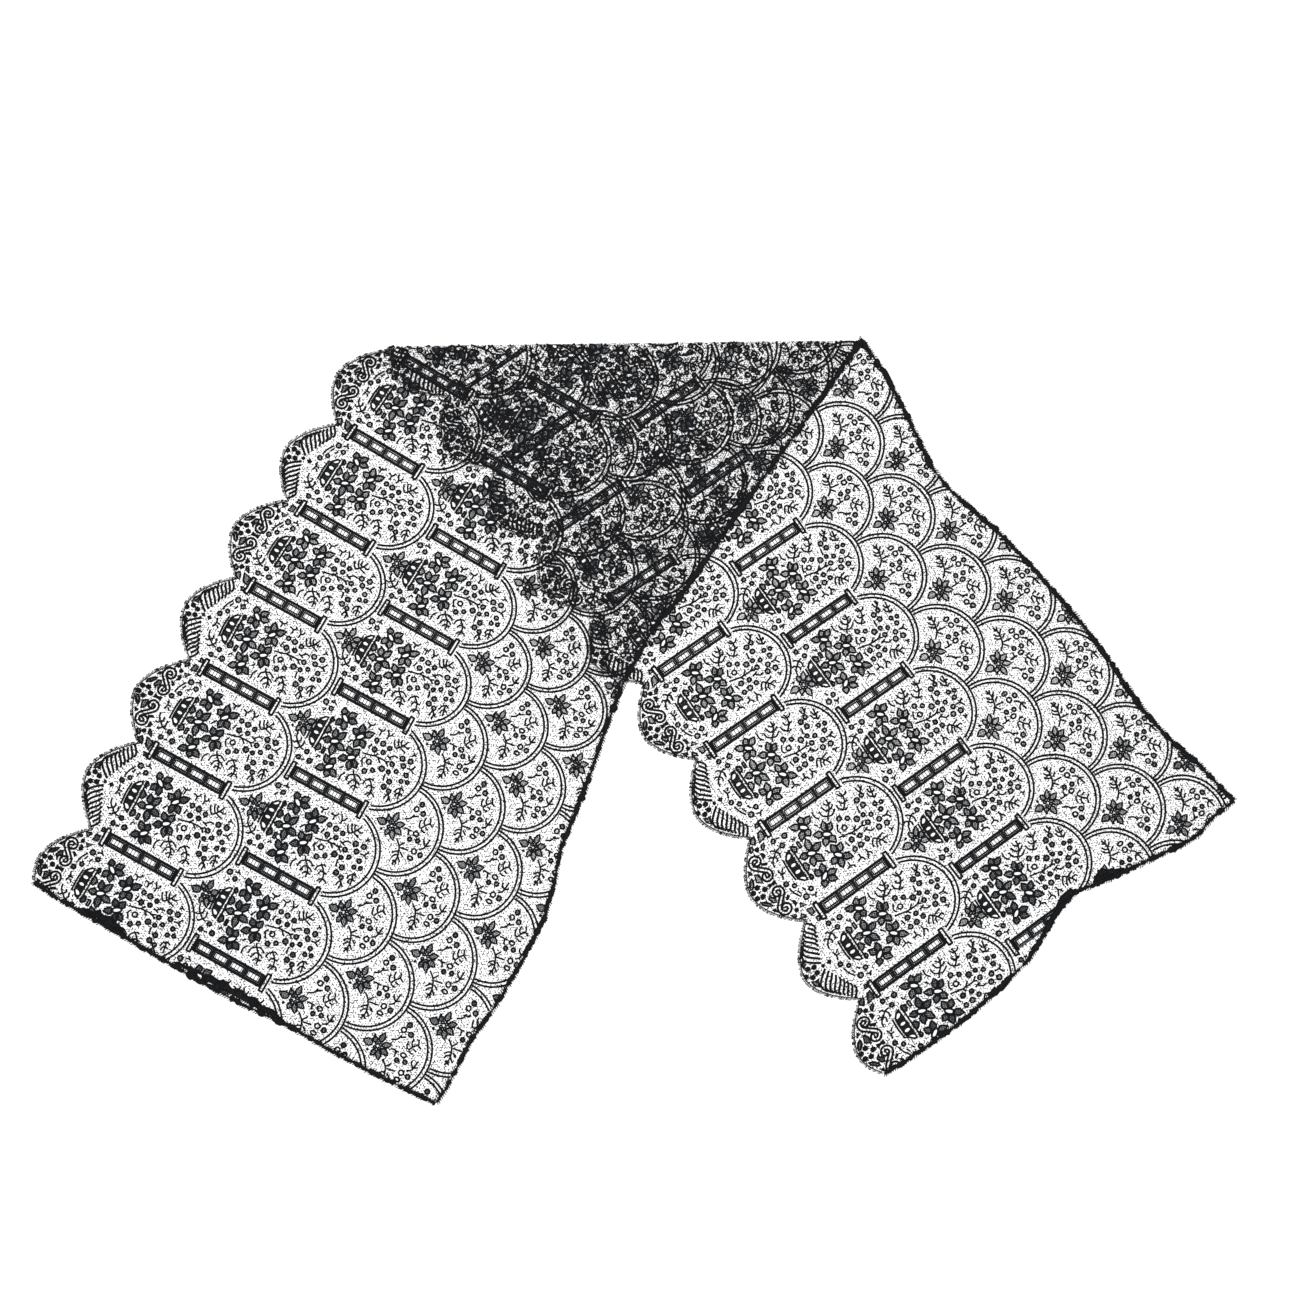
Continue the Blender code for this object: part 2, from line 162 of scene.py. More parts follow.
def laid(stretch, points):
    """Where points of the chart lie on the plane of the surface."""
    _, x, y, turn, mid, far = blended(stretch.rows, points[:, 0] / REPEAT).T
    across = points[:, 1]
    if stretch.turns:     # the upper stretch lies even up to MID, and even again past it
        past_mid = np.maximum(across - MID, 0) / (FAR - MID)
        reach = mid / MID * np.minimum(across, MID) + (far - mid) * past_mid
    else:                 # the lower one is drawn out a little towards its border
        drawn = (far / FAR - mid / MID) / (FAR - MID)
        reach = (mid / MID - MID * drawn) * across + drawn * across ** 2
    angle = np.radians(turn)
    return np.column_stack((x + reach * np.cos(angle), y + reach * np.sin(angle)))


def border_across(at):
    """Where the scalloped border ends: scroll scallops and striped ones take turns."""
    scallop = np.floor(at)
    scroll = scallop % 2 == 1
    depth = np.where(scroll, SCROLL_DEPTH, STRIPE_DEPTH)
    from_tip = np.abs(2 * (at - scallop) - 1)
    return -VALLEY - depth * (1 - from_tip ** SCALLOP_ROUND)


def head_across(stretch, at):
    """The outer side of the long hem, at places along the strip."""
    marks = np.array(stretch.head)
    fine = np.linspace(marks[0, 0], marks[-1, 0], 200)
    return np.interp(at, fine, np.interp(fine, marks[:, 0], marks[:, 1]))


def end_at(stretch, across):
    """The outer side of the short end's hem, at places across the strip."""
    marks = np.array(stretch.end)
    return np.interp(across, marks[:, 1], marks[:, 0])


def is_cloth(stretch, points, inset):
    """Which points of the chart are lace, inset from the hems' outer sides."""
    at, across = points[:, 0] / REPEAT, points[:, 1]
    from_end = stretch.way * (at - end_at(stretch, across)) * REPEAT
    return ((across > border_across(at) - 0.01) & (from_end > inset)
            & (across < head_across(stretch, at) - inset))


def fold_frame(stretch):
    """A point of the line where the lace starts to turn, and the way out of the cloth there."""
    along = np.array((1.0, FOLD_SLOPE)) / math.hypot(1.0, FOLD_SLOPE)
    outward = np.array((-along[1], along[0]))
    inset = FOLD_RADIUS + CLOTH_MIDDLE + (0.0 if stretch.turns else FOLD_SEAM)
    return np.array((0.0, FOLD_HEIGHT)) - inset * outward, outward


def step_frame():
    """A point of the lower one's scallop line, and the way out over its border."""
    start, end = laid(LOWER, np.array([(at * REPEAT, 0.0) for at in STEP_STATIONS]))
    along = (end - start) / np.linalg.norm(end - start)
    return start, np.array((along[1], -along[0]))


def rise(stretch, plane):
    """How high a stretch lies: the upper one on the lower one, then down to the surface."""
    if not stretch.turns:
        return np.zeros(len(plane))
    start, outward = step_frame()
    f = np.clip(((plane - start) @ outward - STEP_START) / STEP_WIDTH, 0, 1)
    return LAYER_RISE * (1 - f * f * (3 - 2 * f))


def past_fold(stretch, plane):
    """How far each point of the plane lies past the line where the lace starts to turn."""
    place, outward = fold_frame(stretch)
    return (plane - place) @ outward


def rested(stretch, plane, lift):
    """Points of the plane in space: on the surface, and round the half turn at the fold."""
    outward = fold_frame(stretch)[1]
    over = np.clip(past_fold(stretch, plane), 0, math.pi * FOLD_RADIUS)
    angle = over / FOLD_RADIUS
    flat = plane - over[:, None] * outward
    out = (FOLD_RADIUS + lift) * np.sin(angle)
    down = (FOLD_RADIUS + lift) * (1 - np.cos(angle))
    height = CLOTH_MIDDLE + rise(stretch, flat) + lift - down
    return np.column_stack((flat + out[:, None] * outward, height)) * MM


# ---------------------------------------------------------------- drawing on the chart

NET, LIGHT_STITCH, HALF_STITCH, CLOTH_STITCH, OPEN = range(5)

# Widths of thread, drawn coarser so that they show: a real outlining thread is about 1 mm.
GIMP = 2.3               # baskets and caps
STEM = 2.15              # arcs and rims
PETAL_THREAD = 2.2
BERRY_THREAD = 2.1
SPRAY_THREAD = 1.9
DAISY_THREAD = 1.9
BAR_THREAD = 2.8
STRIPE_THREAD = 2.5
SCROLL_THREAD = 2.4
LEAF_THREAD = 2.35
LADDER_THREAD = 0.7
EDGE_THREAD = 1.0        # the cord along the scalloped border
FINE = 2.12              # threads below this width are the fine ones

SCROLL_BAND = 1.9        # from the middle of a scroll to either of its threads
EDGE_INSET = 0.7         # from the edge of the border in to its cord

Thread = namedtuple("Thread", "points width closed")
Patch = namedtuple("Patch", "ring stitch")


def turned(u, v, turn, along=0.0, across=0.0):
    """Places u along and v across from a middle, turned from across towards along."""
    c, s = math.cos(math.radians(turn)), math.sin(math.radians(turn))
    return np.column_stack((along + v * s + u * c, across + v * c - u * s))


class Drawing:
    """The threads and the stitched patches of one motif, about its own middle."""

    def __init__(self):
        self.threads = []
        self.patches = []

    def thread(self, points, width, closed=False):
        """Lay a thread of this width along a line, or round a ring."""
        self.threads.append(Thread(np.asarray(points, float), width, closed))

    def patch(self, ring, stitch, outline=None):
        """Fill a ring with a stitch, and outline it with a thread of this width if given."""
        self.patches.append(Patch(np.asarray(ring, float), stitch))
        if outline:
            self.thread(ring, outline, True)

    def put(self, motif, along, across):
        """Draw another motif with its middle here."""
        place = np.array((along, across))
        self.threads += [Thread(t.points + place, t.width, t.closed) for t in motif.threads]
        self.patches += [Patch(p.ring + place, p.stitch) for p in motif.patches]


def smooth(points, step=2.0):
    """A smooth line through a few points, with a point every few millimetres."""
    points = np.asarray(points, float)
    if len(points) == 2:
        count = max(1, round(np.linalg.norm(points[1] - points[0]) / (2 * step)))
        return points[0] + np.linspace(0, 1, count + 1)[:, None] * (points[1] - points[0])
    ends = [2 * points[0] - points[1]], [2 * points[-1] - points[-2]]
    p = np.concatenate((ends[0], points, ends[1]))
    line = []
    for p0, p1, p2, p3 in zip(p, p[1:], p[2:], p[3:]):
        count = max(1, round(np.linalg.norm(p2 - p1) / step))
        for f in np.arange(count) / count:
            bend = (p2 - p0) * f + (2 * p0 - 5 * p1 + 4 * p2 - p3) * f * f
            line.append(p1 + 0.5 * (bend + (3 * p1 - 3 * p2 + p3 - p0) * f ** 3))
    return np.array(line + [points[-1]])


def oval(along, across, short, long, turn=0.0, sides=8):
    """A ring, its long way turned from across towards along."""
    angle = np.arange(sides) * 2 * math.pi / sides
    return turned(short / 2 * np.sin(angle), long / 2 * np.cos(angle), turn, along, across)


PETAL_PLACES = np.array((0.0, 0.2, 0.45, 0.72, 1.0))     # along a petal, from base to tip
PETAL_HALVES = np.array((0.16, 0.42, 0.50, 0.30, 0.0))   # half of its width at each place


def petal(along, across, turn, length, width):
    """A petal's outline, from its narrow base out to its pointed tip."""
    places, halves = PETAL_PLACES * length, PETAL_HALVES * width
    return turned(np.concatenate((halves, -halves[-2::-1])),
                  np.concatenate((places, places[-2::-1])), turn, along, across)


def petals_round(drawing, start, petals, stitch, thread):
    """Petals that point out from a middle, each from a small distance out."""
    for turn, length, width in petals:
        along, across = (start * f(math.radians(turn)) for f in (math.sin, math.cos))
        drawing.patch(petal(along, across, turn, length, width), stitch, thread)


def berry(drawing, along, across, size, stitch):
    """A small ring of gimp, open or filled."""
    drawing.patch(oval(along, across, size, size, sides=7), BERRY_STITCHES[stitch], BERRY_THREAD)


PETAL_WIDTH = 7.0
BLOSSOM_START = 3.9      # from a flower's middle out to where its petals start
DAISY_START = 4.9
BLOSSOM_EYE = (3.4, 8.4)
EYE_RING = (5.2, 10.2)


def blossom(eye_turn, petals):
    """A flower of five pointed petals round a long open eye."""
    drawing = Drawing()
    drawing.patch(oval(0, 0, *BLOSSOM_EYE, eye_turn, sides=10), OPEN)
    drawing.thread(oval(0, 0, *EYE_RING, eye_turn, sides=12), PETAL_THREAD, True)
    petals_round(drawing, BLOSSOM_START, [(*one, PETAL_WIDTH) for one in petals],
                 HALF_STITCH, PETAL_THREAD)
    return drawing


# The turn, length and width of each petal.
DAISY_PETALS = [(-97, 7, 5.0), (-58, 10, 5.6), (-15, 9.5, 6.0), (32, 9.5, 6.0), (90, 10.5, 6.0),
                (140, 6, 5.0)]
DAISY_LEAF = (-0.7, -6.4, 180, 10.5, 7.6)
DAISY_KNOTS = [(-2.6, -2.2), (2.2, -2.6), (-2.2, 2.4), (2.4, 2.0)]


def daisy():
    """The composite flower between two arcs: a leaf, six petals and a knotted middle."""
    drawing = Drawing()
    drawing.patch(petal(*DAISY_LEAF), LIGHT_STITCH, DAISY_THREAD)
    petals_round(drawing, DAISY_START, DAISY_PETALS, LIGHT_STITCH, DAISY_THREAD)
    for along, across in DAISY_KNOTS:
        drawing.patch(oval(along, across, 3.2, 3.4, sides=6), LIGHT_STITCH, DAISY_THREAD)
    for side in (-1, 1):
        drawing.thread(smooth([(7.4 * side, -9.2), (8.6 * side, -6.6)]), BAR_THREAD)
    return drawing


BERRY_STITCHES = (NET, HALF_STITCH, LIGHT_STITCH)

# Rows are a blossom's place, the turn of its eye, and the turn and length of each petal.
BLOSSOMS = [
    (-28, 29.8, 41, [(-146, 10.4), (133, 9.8), (83, 7.5), (-27, 9.5), (-76, 7.4)]),
    (-8.7, 45.3, 34, [(-148, 9.9), (130, 8.4), (72, 8.7), (-35, 9.0), (-73, 10.0)]),
    (-2, 22.0, 28, [(-166, 8.8), (110, 9.6), (64, 12.0), (-16, 10.6), (-77, 11.8)]),
    (15.3, 43.7, 48, [(160, 7.8), (105, 10.0), (42, 11.4), (-46, 9.0), (-94, 9.4)]),
    (24.7, 20.3, -35, [(-119, 8.4), (123, 7.1), (47, 9.8), (5, 10.1), (-72, 9.4)]),
]
# Rows are a berry's place, its size, and which of BERRY_STITCHES fills it.
BERRIES = [
    (-34, -2.7, 4.6, 1), (-25.4, 2.4, 4.6, 1), (-32.3, 9.5, 5.4, 1),
    (30.4, -5.7, 5.6, 2), (26.6, 2.4, 4.6, 2),
    (-14.3, 64.4, 5.0, 2), (-3.7, 63.8, 5.4, 0), (10.4, 63.0, 5.2, 1),
    (20.3, 60.4, 4.6, 2), (20.0, 68.0, 5.4, 2), (12.0, 72.3, 4.6, 1),
    (19.0, 76.4, 4.6, 1), (-9.7, 71.6, 4.4, 2), (-3.6, 79.2, 5.8, 1),
    (-19.0, 90.0, 5.4, 1), (-11.7, 92.6, 5.2, 1), (-20.7, 96.8, 4.6, 2),
    (-3.3, 86.9, 4.2, 1), (5.6, 86.6, 4.8, 2), (1.0, 93.8, 4.2, 2),
    (9.6, 97.8, 5.0, 2), (16.0, 93.3, 5.4, 2), (17.3, 102.2, 5.4, 2),
    (-5.6, 103.2, 4.2, 2), (2.3, 105.0, 4.6, 2), (-3.6, 109.6, 4.0, 1),
]
BORDER_BERRIES = [(8.5, -15.6, 4.8, 1), (14.6, -9.6, 4.2, 2)]
TWIGS = [
    [(-18.7, 54.3), (-22.7, 56.4), (-27.3, 61.2), (-32.7, 63.9), (-38, 64.5)],   # a fern
    [(-22.7, 56.4), (-26, 52.3), (-32, 51.7)],
    [(-27.3, 61.2), (-28.7, 57.8), (-34.7, 56)],
    [(-32.7, 63.9), (-32.7, 61.8), (-36, 59.8)],
    [(-25.5, 47.9), (-30, 45.1), (-36, 45.6)],
    [(-22.7, 57), (-21.3, 60.4), (-23.3, 64.5), (-24.7, 66.6)],
    [(-27.3, 61.2), (-28, 64.5), (-30, 67.3)],
    [(-32.7, 63.9), (-33.3, 67.3)],
    [(-18.7, 72), (-19.3, 73.4), (-24.7, 78.8), (-31.3, 80.8), (-36, 79.5)],     # another
    [(-19.3, 73.4), (-22.7, 70), (-27.3, 69.7)],
    [(-24.7, 78.8), (-25.3, 75.4), (-29.3, 74.4)],
    [(-31.3, 80.8), (-32, 78.8), (-36, 76.6)],
    [(-19.3, 73.4), (-18, 75.4), (-18.7, 78.2)],
    [(-24.7, 78.8), (-25, 82.6)],
    [(-31.3, 80.8), (-31.3, 83.6), (-33.8, 86.4)],
    [(-23.8, 97.9), (-26, 96.4), (-30.4, 95.8)],
    [(-23.8, 97.9), (-27, 99.9), (-32, 99.9)],
    [(-25.3, 99.4), (-28.7, 102.7)],
    [(-11.3, 106), (-16.7, 107.4), (-24, 108.8)],
    [(-12.7, 106), (-14.7, 103.3), (-19.3, 102.4)],
    [(-16.7, 107.4), (-18.7, 105.3), (-22.7, 104.9)],
    [(-11.3, 106.7), (-13.3, 110.8)],
    [(-16.7, 107.4), (-18, 111.4)],
    [(26.7, 46.9), (31, 46.9), (32.4, 42.8)],
    [(31, 46.9), (32.7, 50.3), (35.3, 51)],
    [(26, 60.5), (30.7, 60.2), (32, 55.8)],
    [(30.7, 60.2), (32.7, 62.5), (35.3, 62.9)],
    [(26, 68.6), (30, 69.3), (36, 66)],
    [(30, 69.3), (32, 72), (34.7, 72.4)],
    [(22, 81.6), (24.7, 85), (30.7, 89), (34.7, 90.4)],
    [(22, 81.6), (26, 78.2), (30, 76.8)],
    [(24.7, 84.6), (28.7, 81.6), (32.7, 80.2)],
    [(26.7, 87), (30, 84.3), (33.3, 84.3)],
    [(24.7, 86.4), (22.7, 93)],
    [(28.7, 88.4), (28, 93), (30, 94.5)],
    [(22.7, 100.6), (25.3, 102.7), (27.3, 101.2)],
    [(25.3, 102.7), (24.7, 105.3)],
    [(1.3, 53.7), (3.3, 61.9), (4.7, 66), (8.7, 68.6)],
    [(4.7, 66), (5, 78.2), (1.6, 83.4)],
    [(4.7, 70), (0.7, 74.7)],
    [(5, 79.5), (6.7, 82.9)],
    [(11.3, 77.5), (9.3, 83.6)],
    [(10.7, 80.8), (14.7, 84.9), (14, 89)],
    [(-10.7, 59.8), (-4.7, 56.4), (-1.3, 58.4)],
    [(8.7, 56.4), (14.7, 57.8)],
    [(-14, 86.4), (-6.5, 84.9)],
    [(9.3, 102), (9.8, 106.7), (7.3, 110.8)],
    [(9.8, 106.7), (15.3, 109.4)],
    [(3.3, 34.7), (8.7, 38)],
    [(-24, 40), (-20.7, 42.8)],
    [(-22, -16.4), (-22.4, -13.6), (-20.5, -11), (-24.2, -6.4), (-25, -1.8)],
    [(-20.5, -11), (-17, -14.5), (-11.5, -16)],
    [(-20.5, -11), (-17.8, -9), (-14.6, -10)],
    [(-24.2, -6.4), (-27, -9), (-27.4, -11.4)],
    [(-24.2, -6.4), (-21, -4.5), (-16, -5.5)],
    [(20.4, -4.5), (24.5, -2.3)],
    [(32.6, -1), (34, 2.7), (32.6, 5.5)],
    [(34, 2.7), (37, 1.8)],
    [(-34.8, 1.0), (-33.5, 4.6)],
    [(-26, 13.2), (-22.5, 15.4), (-24.4, 17.2)],
]
BORDER_TWIGS = [
    [(-7, -15.3), (-1.5, -14), (3.5, -15.3)],
    [(-3.7, -12.7), (-6.5, -9.5)],
    [(-1.5, -13.6), (-1.5, -10)],
    [(13.5, -15.3), (20.4, -13.8), (27.6, -10)],
    [(20.4, -10), (25, -8.2)],
]


BASKET_HALF = 17.5
# An eye's place along, its two widths and its turn; a leaf's place along, turn, length and width.
BASKET_EYES = [(-12.2, 3.8, 6.4, -26), (-2.8, 3.0, 5.2, 0), (5.2, 3.2, 5.4, 0),
               (14.0, 4.2, 6.8, 26)]
BASKET_LEAVES = [(-14.8, -12, 5.6, 8.0), (5.6, 8, 6.4, 8.6), (16.8, 12, 3.6, 5.6)]


def basket():
    """The boat-shaped basket: cloth stitch with four open eyes, a rim and three leaves."""
    drawing = Drawing()
    h = BASKET_HALF
    hull = smooth([(-h, 5.0), (-h + 1.5, 1.4), (-h + 6, -2.4), (0, -3.2), (h - 6, -2.4),
                   (h - 1.5, 1.4), (h, 5.0)], 4.0)
    drawing.patch(hull, CLOTH_STITCH, GIMP)
    for along, short, long, turn in BASKET_EYES:
        drawing.patch(oval(along, 0.8, short, long, turn), OPEN)
    drawing.thread(smooth([(-h - 1, 8.2), (0, 8.0), (h + 1, 8.2)], 4.0), STEM)
    drawing.thread(smooth([(-13, -5.2), (0, -6.0), (11, -5.2)], 4.0), STEM)
    for along, turn, length, width in BASKET_LEAVES:
        drawing.patch(petal(along, 7.6, turn, length, width), HALF_STITCH, PETAL_THREAD)
    return drawing


BAR_START, BAR_END = 1.4, 78.0
BAR_HALF = 6.0
CELLS = 4
JOINT = 3.2              # cloth stitch between two cells
WINDOW = (14.0, 5.8)
RUNGS = 4                # fine threads across each window
CAP_HALF, CAP_WIDTH, CAP_GAP = 9.6, 4.0, 2.2


def box(along_low, across_low, along_high, across_high):
    """The ring of an upright rectangle, with a point 1 mm to either side of each corner."""
    corner = np.array(((along_low, across_low), (along_high, across_low),
                       (along_high, across_high), (along_low, across_high)), float)
    ahead = np.roll(corner, -1, axis=0)
    way = (ahead - corner) / np.linalg.norm(ahead - corner, axis=1)[:, None]
    return np.stack((corner, corner + way, ahead - way), axis=1).reshape(-1, 2)


def bar():
    """The ladder bar between two compartments, with a slim cap at either end."""
    drawing = Drawing()
    b, start, end = BAR_HALF, BAR_START, BAR_END
    drawing.patch(box(-b, start, b, end), HALF_STITCH, BAR_THREAD)
    pitch = (end - start) / CELLS
    for i in range(1, CELLS):
        across = start + pitch * i
        drawing.patch(box(-b, across - JOINT / 2, b, across + JOINT / 2), CLOTH_STITCH)
    long, wide = WINDOW
    for i in range(CELLS):
        across = start + pitch * (i + 0.5)
        window = box(-wide / 2, across - long / 2, wide / 2, across + long / 2)
        drawing.patch(window, OPEN, LADDER_THREAD * 2)
        for j in range(RUNGS):
            rung = across + long * ((j + 0.5) / RUNGS - 0.5)
            drawing.thread([(-wide / 2, rung), (wide / 2, rung)], LADDER_THREAD)
    for low in (start - CAP_GAP - CAP_WIDTH, end + CAP_GAP):
        drawing.thread(box(-CAP_HALF, low, CAP_HALF, low + CAP_WIDTH), GIMP, True)
    return drawing


ARCS = [(48.4, 50.4), (44.6, 45.7)]      # half the width and the height of the double arc
COLUMN_CUSP, SCALE_CUSP = 14.0, 1.5      # where an arc starts, from the line of its centre
ARC_POINTS = 52
SMALL_BOX = (-18.9, 15.4, -12.9, 17.8)   # a small box of gimp beside a blossom


def arcs(drawing, across, start):
    """The double arc that closes a compartment or a scale, from one cusp to the other."""
    for half, height in ARCS:
        first = math.asin(start / height)
        angle = np.linspace(first, math.pi - first, ARC_POINTS)
        drawing.thread(np.column_stack((-half * np.cos(angle), across + height * np.sin(angle))),
                       STEM)


def compartment(second):
    """A large compartment. The first column also fills its scallop's inner side."""
    drawing = Drawing()
    arcs(drawing, ARC_ACROSS, COLUMN_CUSP)
    drawing.put(basket(), 0.0, 0.0)
    for along, across, eye_turn, petals in BLOSSOMS:
        drawing.put(blossom(eye_turn, petals), along, across)
    for item in BERRIES + ([] if second else BORDER_BERRIES):
        berry(drawing, *item)
    for points in TWIGS + ([] if second else BORDER_TWIGS):
        drawing.thread(smooth(points), SPRAY_THREAD)
    drawing.thread(box(*SMALL_BOX), BERRY_THREAD, True)
    return drawing


# Places on a scale are from its daisy's middle.
SCALE_BERRIES = [
    (-12.3, 35, 5.6, 0), (-12.8, 43, 5.0, 2), (-3.5, 24.4, 4.6, 1),
    (-1.3, 33, 4.6, 2), (26.8, 15.4, 5.4, 0), (25.8, 24.4, 5.2, 2),
    (33.8, 18.6, 5.2, 1),
]
SCALE_OVALS = [(-20.2, 34.8, 4.0, 6.4), (4.2, 28, 4.6, 6.2)]
SCALE_TWIGS = [
    [(-9, 11), (-14.5, 17.4), (-20, 20.1), (-26.7, 21.8), (-34.5, 20.1)],        # a fern
    [(-20, 20.1), (-21, 16.8), (-24.5, 14)],
    [(-23.4, 20.7), (-24.5, 17.9), (-28.4, 16)],
    [(-29.5, 21.3), (-31.1, 18.5)],
    [(-19.5, 22), (-22.8, 27)],
    [(-25, 22.2), (-28.9, 26.6)],
    [(-29.5, 21.8), (-32.8, 24)],
    [(-14.5, 17.4), (-8.8, 21.6)],
    [(-15.6, 19.6), (-14.1, 29)],
    [(4.2, 13), (4.4, 18.5), (-1.1, 20.4)],
    [(4.4, 18.5), (4.8, 22.4)],
    [(12.4, 8.6), (15.5, 14.2), (21, 16.2)],
    [(18.6, 16.4), (21.6, 21.4)],
    [(11.1, 29.6), (16.1, 32.4), (21.1, 36.3), (25.5, 34)],                      # a spray
    [(11.6, 28.5), (14.4, 26.3), (19.4, 25.5)],
    [(16.6, 31.8), (18.9, 29.6), (23.9, 29.6)],
    [(10.5, 30.1), (9.3, 34.6), (10.2, 36.3)],
    [(14.4, 33.5), (13.3, 38)],
    [(20, 36.8), (17.8, 41)],
    [(-8.2, 38.6), (-5.6, 42.4), (-2.2, 43.6), (6.1, 44.8)],
    [(-2.2, 43.2), (0.5, 39.6), (3.5, 38.8)],
    [(-2.2, 44), (0.3, 48)],
]


def fish_scale():
    """One fish scale of the plain side: its arc, a daisy, a fern, berries and sprays."""
    drawing = Drawing()
    arcs(drawing, DAISY_TO_ARC, SCALE_CUSP)
    drawing.put(daisy(), 0.0, 0.0)
    for item in SCALE_BERRIES:
        berry(drawing, *item)
    for ring in SCALE_OVALS:
        drawing.thread(oval(*ring), BERRY_THREAD, True)
    for points in SCALE_TWIGS:
        drawing.thread(smooth(points), SPRAY_THREAD)
    return drawing


# Rows are a leaf's outline and its stitch.
SCROLL_LEAVES = [
    ([(-15.6, -40.8), (-14, -43.6), (-10.4, -46.2), (-7.4, -47), (-7.2, -45), (-9.8, -42.4),
      (-13.2, -40.8)], HALF_STITCH),
    ([(-23.2, -39.4), (-19.4, -41.8), (-20.2, -37.8)], CLOTH_STITCH),
    ([(-17, -36.2), (-10.2, -38.4), (-6.4, -33.8), (-13.2, -33), (-15.6, -34.4)], HALF_STITCH),
    ([(9, -45.8), (12, -45.4), (16, -41.6), (18.4, -38.2), (15.4, -39), (11.6, -41.6)],
      HALF_STITCH),
    ([(21.8, -40.4), (24, -39), (25.6, -37.4), (22.6, -37.8)], CLOTH_STITCH),
    ([(7.2, -34), (10.9, -37.4), (16, -35.6), (17.2, -33), (13.5, -31.8), (10.6, -35)],
      HALF_STITCH),
    ([(-1.2, -30.6), (2.0, -30.6), (0.5, -27.3), (2.0, -23.4), (-1.2, -23.4), (0.1, -27.3)],
      CLOTH_STITCH),
    ([(-22.2, -24.2), (-21, -24.8), (-18.9, -21), (-20, -19.8)], CLOTH_STITCH),
    ([(-31.2, -20), (-25.4, -20.4), (-27.2, -17.4), (-29.8, -18)], CLOTH_STITCH),
    (oval(-36.5, -20.8, 3.2, 3.0, 0, 6), CLOTH_STITCH),
    ([(-42.4, -25.2), (-38.6, -27.8), (-37.2, -27.4), (-38.4, -23.8), (-41, -23.4)], HALF_STITCH),
    ([(-49.6, -15.8), (-48, -20.6), (-45.3, -22.6), (-42, -19.6), (-45, -17.4)], HALF_STITCH),
    ([(-38.6, -11.4), (-36.8, -15.4), (-33.8, -16.4), (-32.8, -15.2), (-35.6, -12.6)],
      HALF_STITCH),
    ([(-50.6, -7.2), (-49.6, -10.8), (-46.6, -12.4), (-41, -14.6), (-42.8, -7)], HALF_STITCH),
    ([(18.4, -20.4), (21.2, -23.2), (21.8, -22.6), (19.8, -19.4)], CLOTH_STITCH),
    ([(25.4, -19.8), (31.4, -19.4), (30, -17.4), (27, -17.8)], CLOTH_STITCH),
    (oval(35.8, -20.8, 2.8, 2.6, 0, 6), CLOTH_STITCH),
    ([(36.9, -28.6), (39.9, -27), (40.9, -24.4), (38.9, -24.2)], HALF_STITCH),
    ([(41.8, -19.2), (45, -21.8), (47.2, -17.4), (45.6, -16.4)], HALF_STITCH),
    ([(32.4, -13.6), (35.5, -16.4), (37.4, -10)], HALF_STITCH),
    ([(41.6, -12.8), (48.6, -11.6), (48.2, -7.6), (42.8, -7.6)], HALF_STITCH),
]
STRIPE_LEAVES = [
    ([(-18, -43.6), (-14.6, -46.2), (-9.2, -47.0), (-12.4, -45.0), (-12.6, -42.8), (-14.6, -43.8)],
      HALF_STITCH),
    ([(5.4, -47.4), (10.6, -46.8), (15, -43.8), (10.4, -42.6), (7.4, -40.4), (8.2, -44.0)],
      HALF_STITCH),
    ([(-46.6, -9.4), (-42.4, -9.6), (-42.6, -6), (-46, -6)], HALF_STITCH),
    ([(40.8, -8.4), (44.8, -10), (44.8, -6), (41.8, -6)], HALF_STITCH),
    (oval(-1, -30, 2.2, 2.0, 0, 6), CLOTH_STITCH),
    (oval(-0.6, -23, 4.0, 3.6, 0, 4), CLOTH_STITCH),
]
TURNED_IN = {            # where a loose end's raw edge is turned in under the lace
    "lower": [
        ([(1548, 222), (1546, 236), (1541, 246), (1539, 252), (1544, 256), (1548, 262),
          (1553, 272), (1559, 287), (1566, 298), (1568, 298), (1562, 280), (1557, 262),
          (1555, 248), (1550, 232)], CLOTH_STITCH),
        ([(1545, 218), (1537, 214), (1538, 200), (1547, 184), (1552, 172), (1560, 160),
          (1567, 152), (1568, 158), (1561, 170), (1552, 190), (1548, 205)], CLOTH_STITCH),
    ],
    "upper": [
        ([(-77, 8), (-73, 17), (-72, 26), (-69, 31), (-70, 38), (-67, 45), (-70, 50), (-72, 58),
          (-77, 68)], CLOTH_STITCH),
        ([(-77, 122), (-74, 128), (-75, 136), (-72, 141), (-74, 148), (-73, 158), (-70, 164),
          (-71, 172), (-68, 180), (-72, 188), (-68, 198), (-71, 206), (-68, 214), (-72, 224),
          (-70, 236), (-73, 244), (-76, 262)], CLOTH_STITCH),
    ],
}
TIP_KNOTS = [(-5.6, -0.6), (4.8, -0.8), (0.0, -6.0), (-3.4, 5.4), (3.2, 5.0)]
KNOT_SIZE = (3.9, 4.3)
DOT_SIZE = (1.8, 1.8)
LEAF_SWELL = 1.06        # a scroll scallop's leaves are drawn this much larger


def leaves(drawing, table, swell=1.0):
    """Small dark leaves, each swelled about its own middle."""
    for ring, stitch in table:
        middle = np.mean(ring, axis=0)
        drawing.patch(middle + swell * (np.array(ring) - middle), stitch, LEAF_THREAD)


def tip_flower(drawing, along, across, side):
    """Five small knots round a dot, at the tip of a scallop, its odd one out or in."""
    for aside, out in TIP_KNOTS:
        knot = oval(along + aside, across + side * out, *KNOT_SIZE, sides=6)
        drawing.patch(knot, CLOTH_STITCH, LEAF_THREAD)
    drawing.patch(oval(along, across, *DOT_SIZE, sides=6), CLOTH_STITCH)


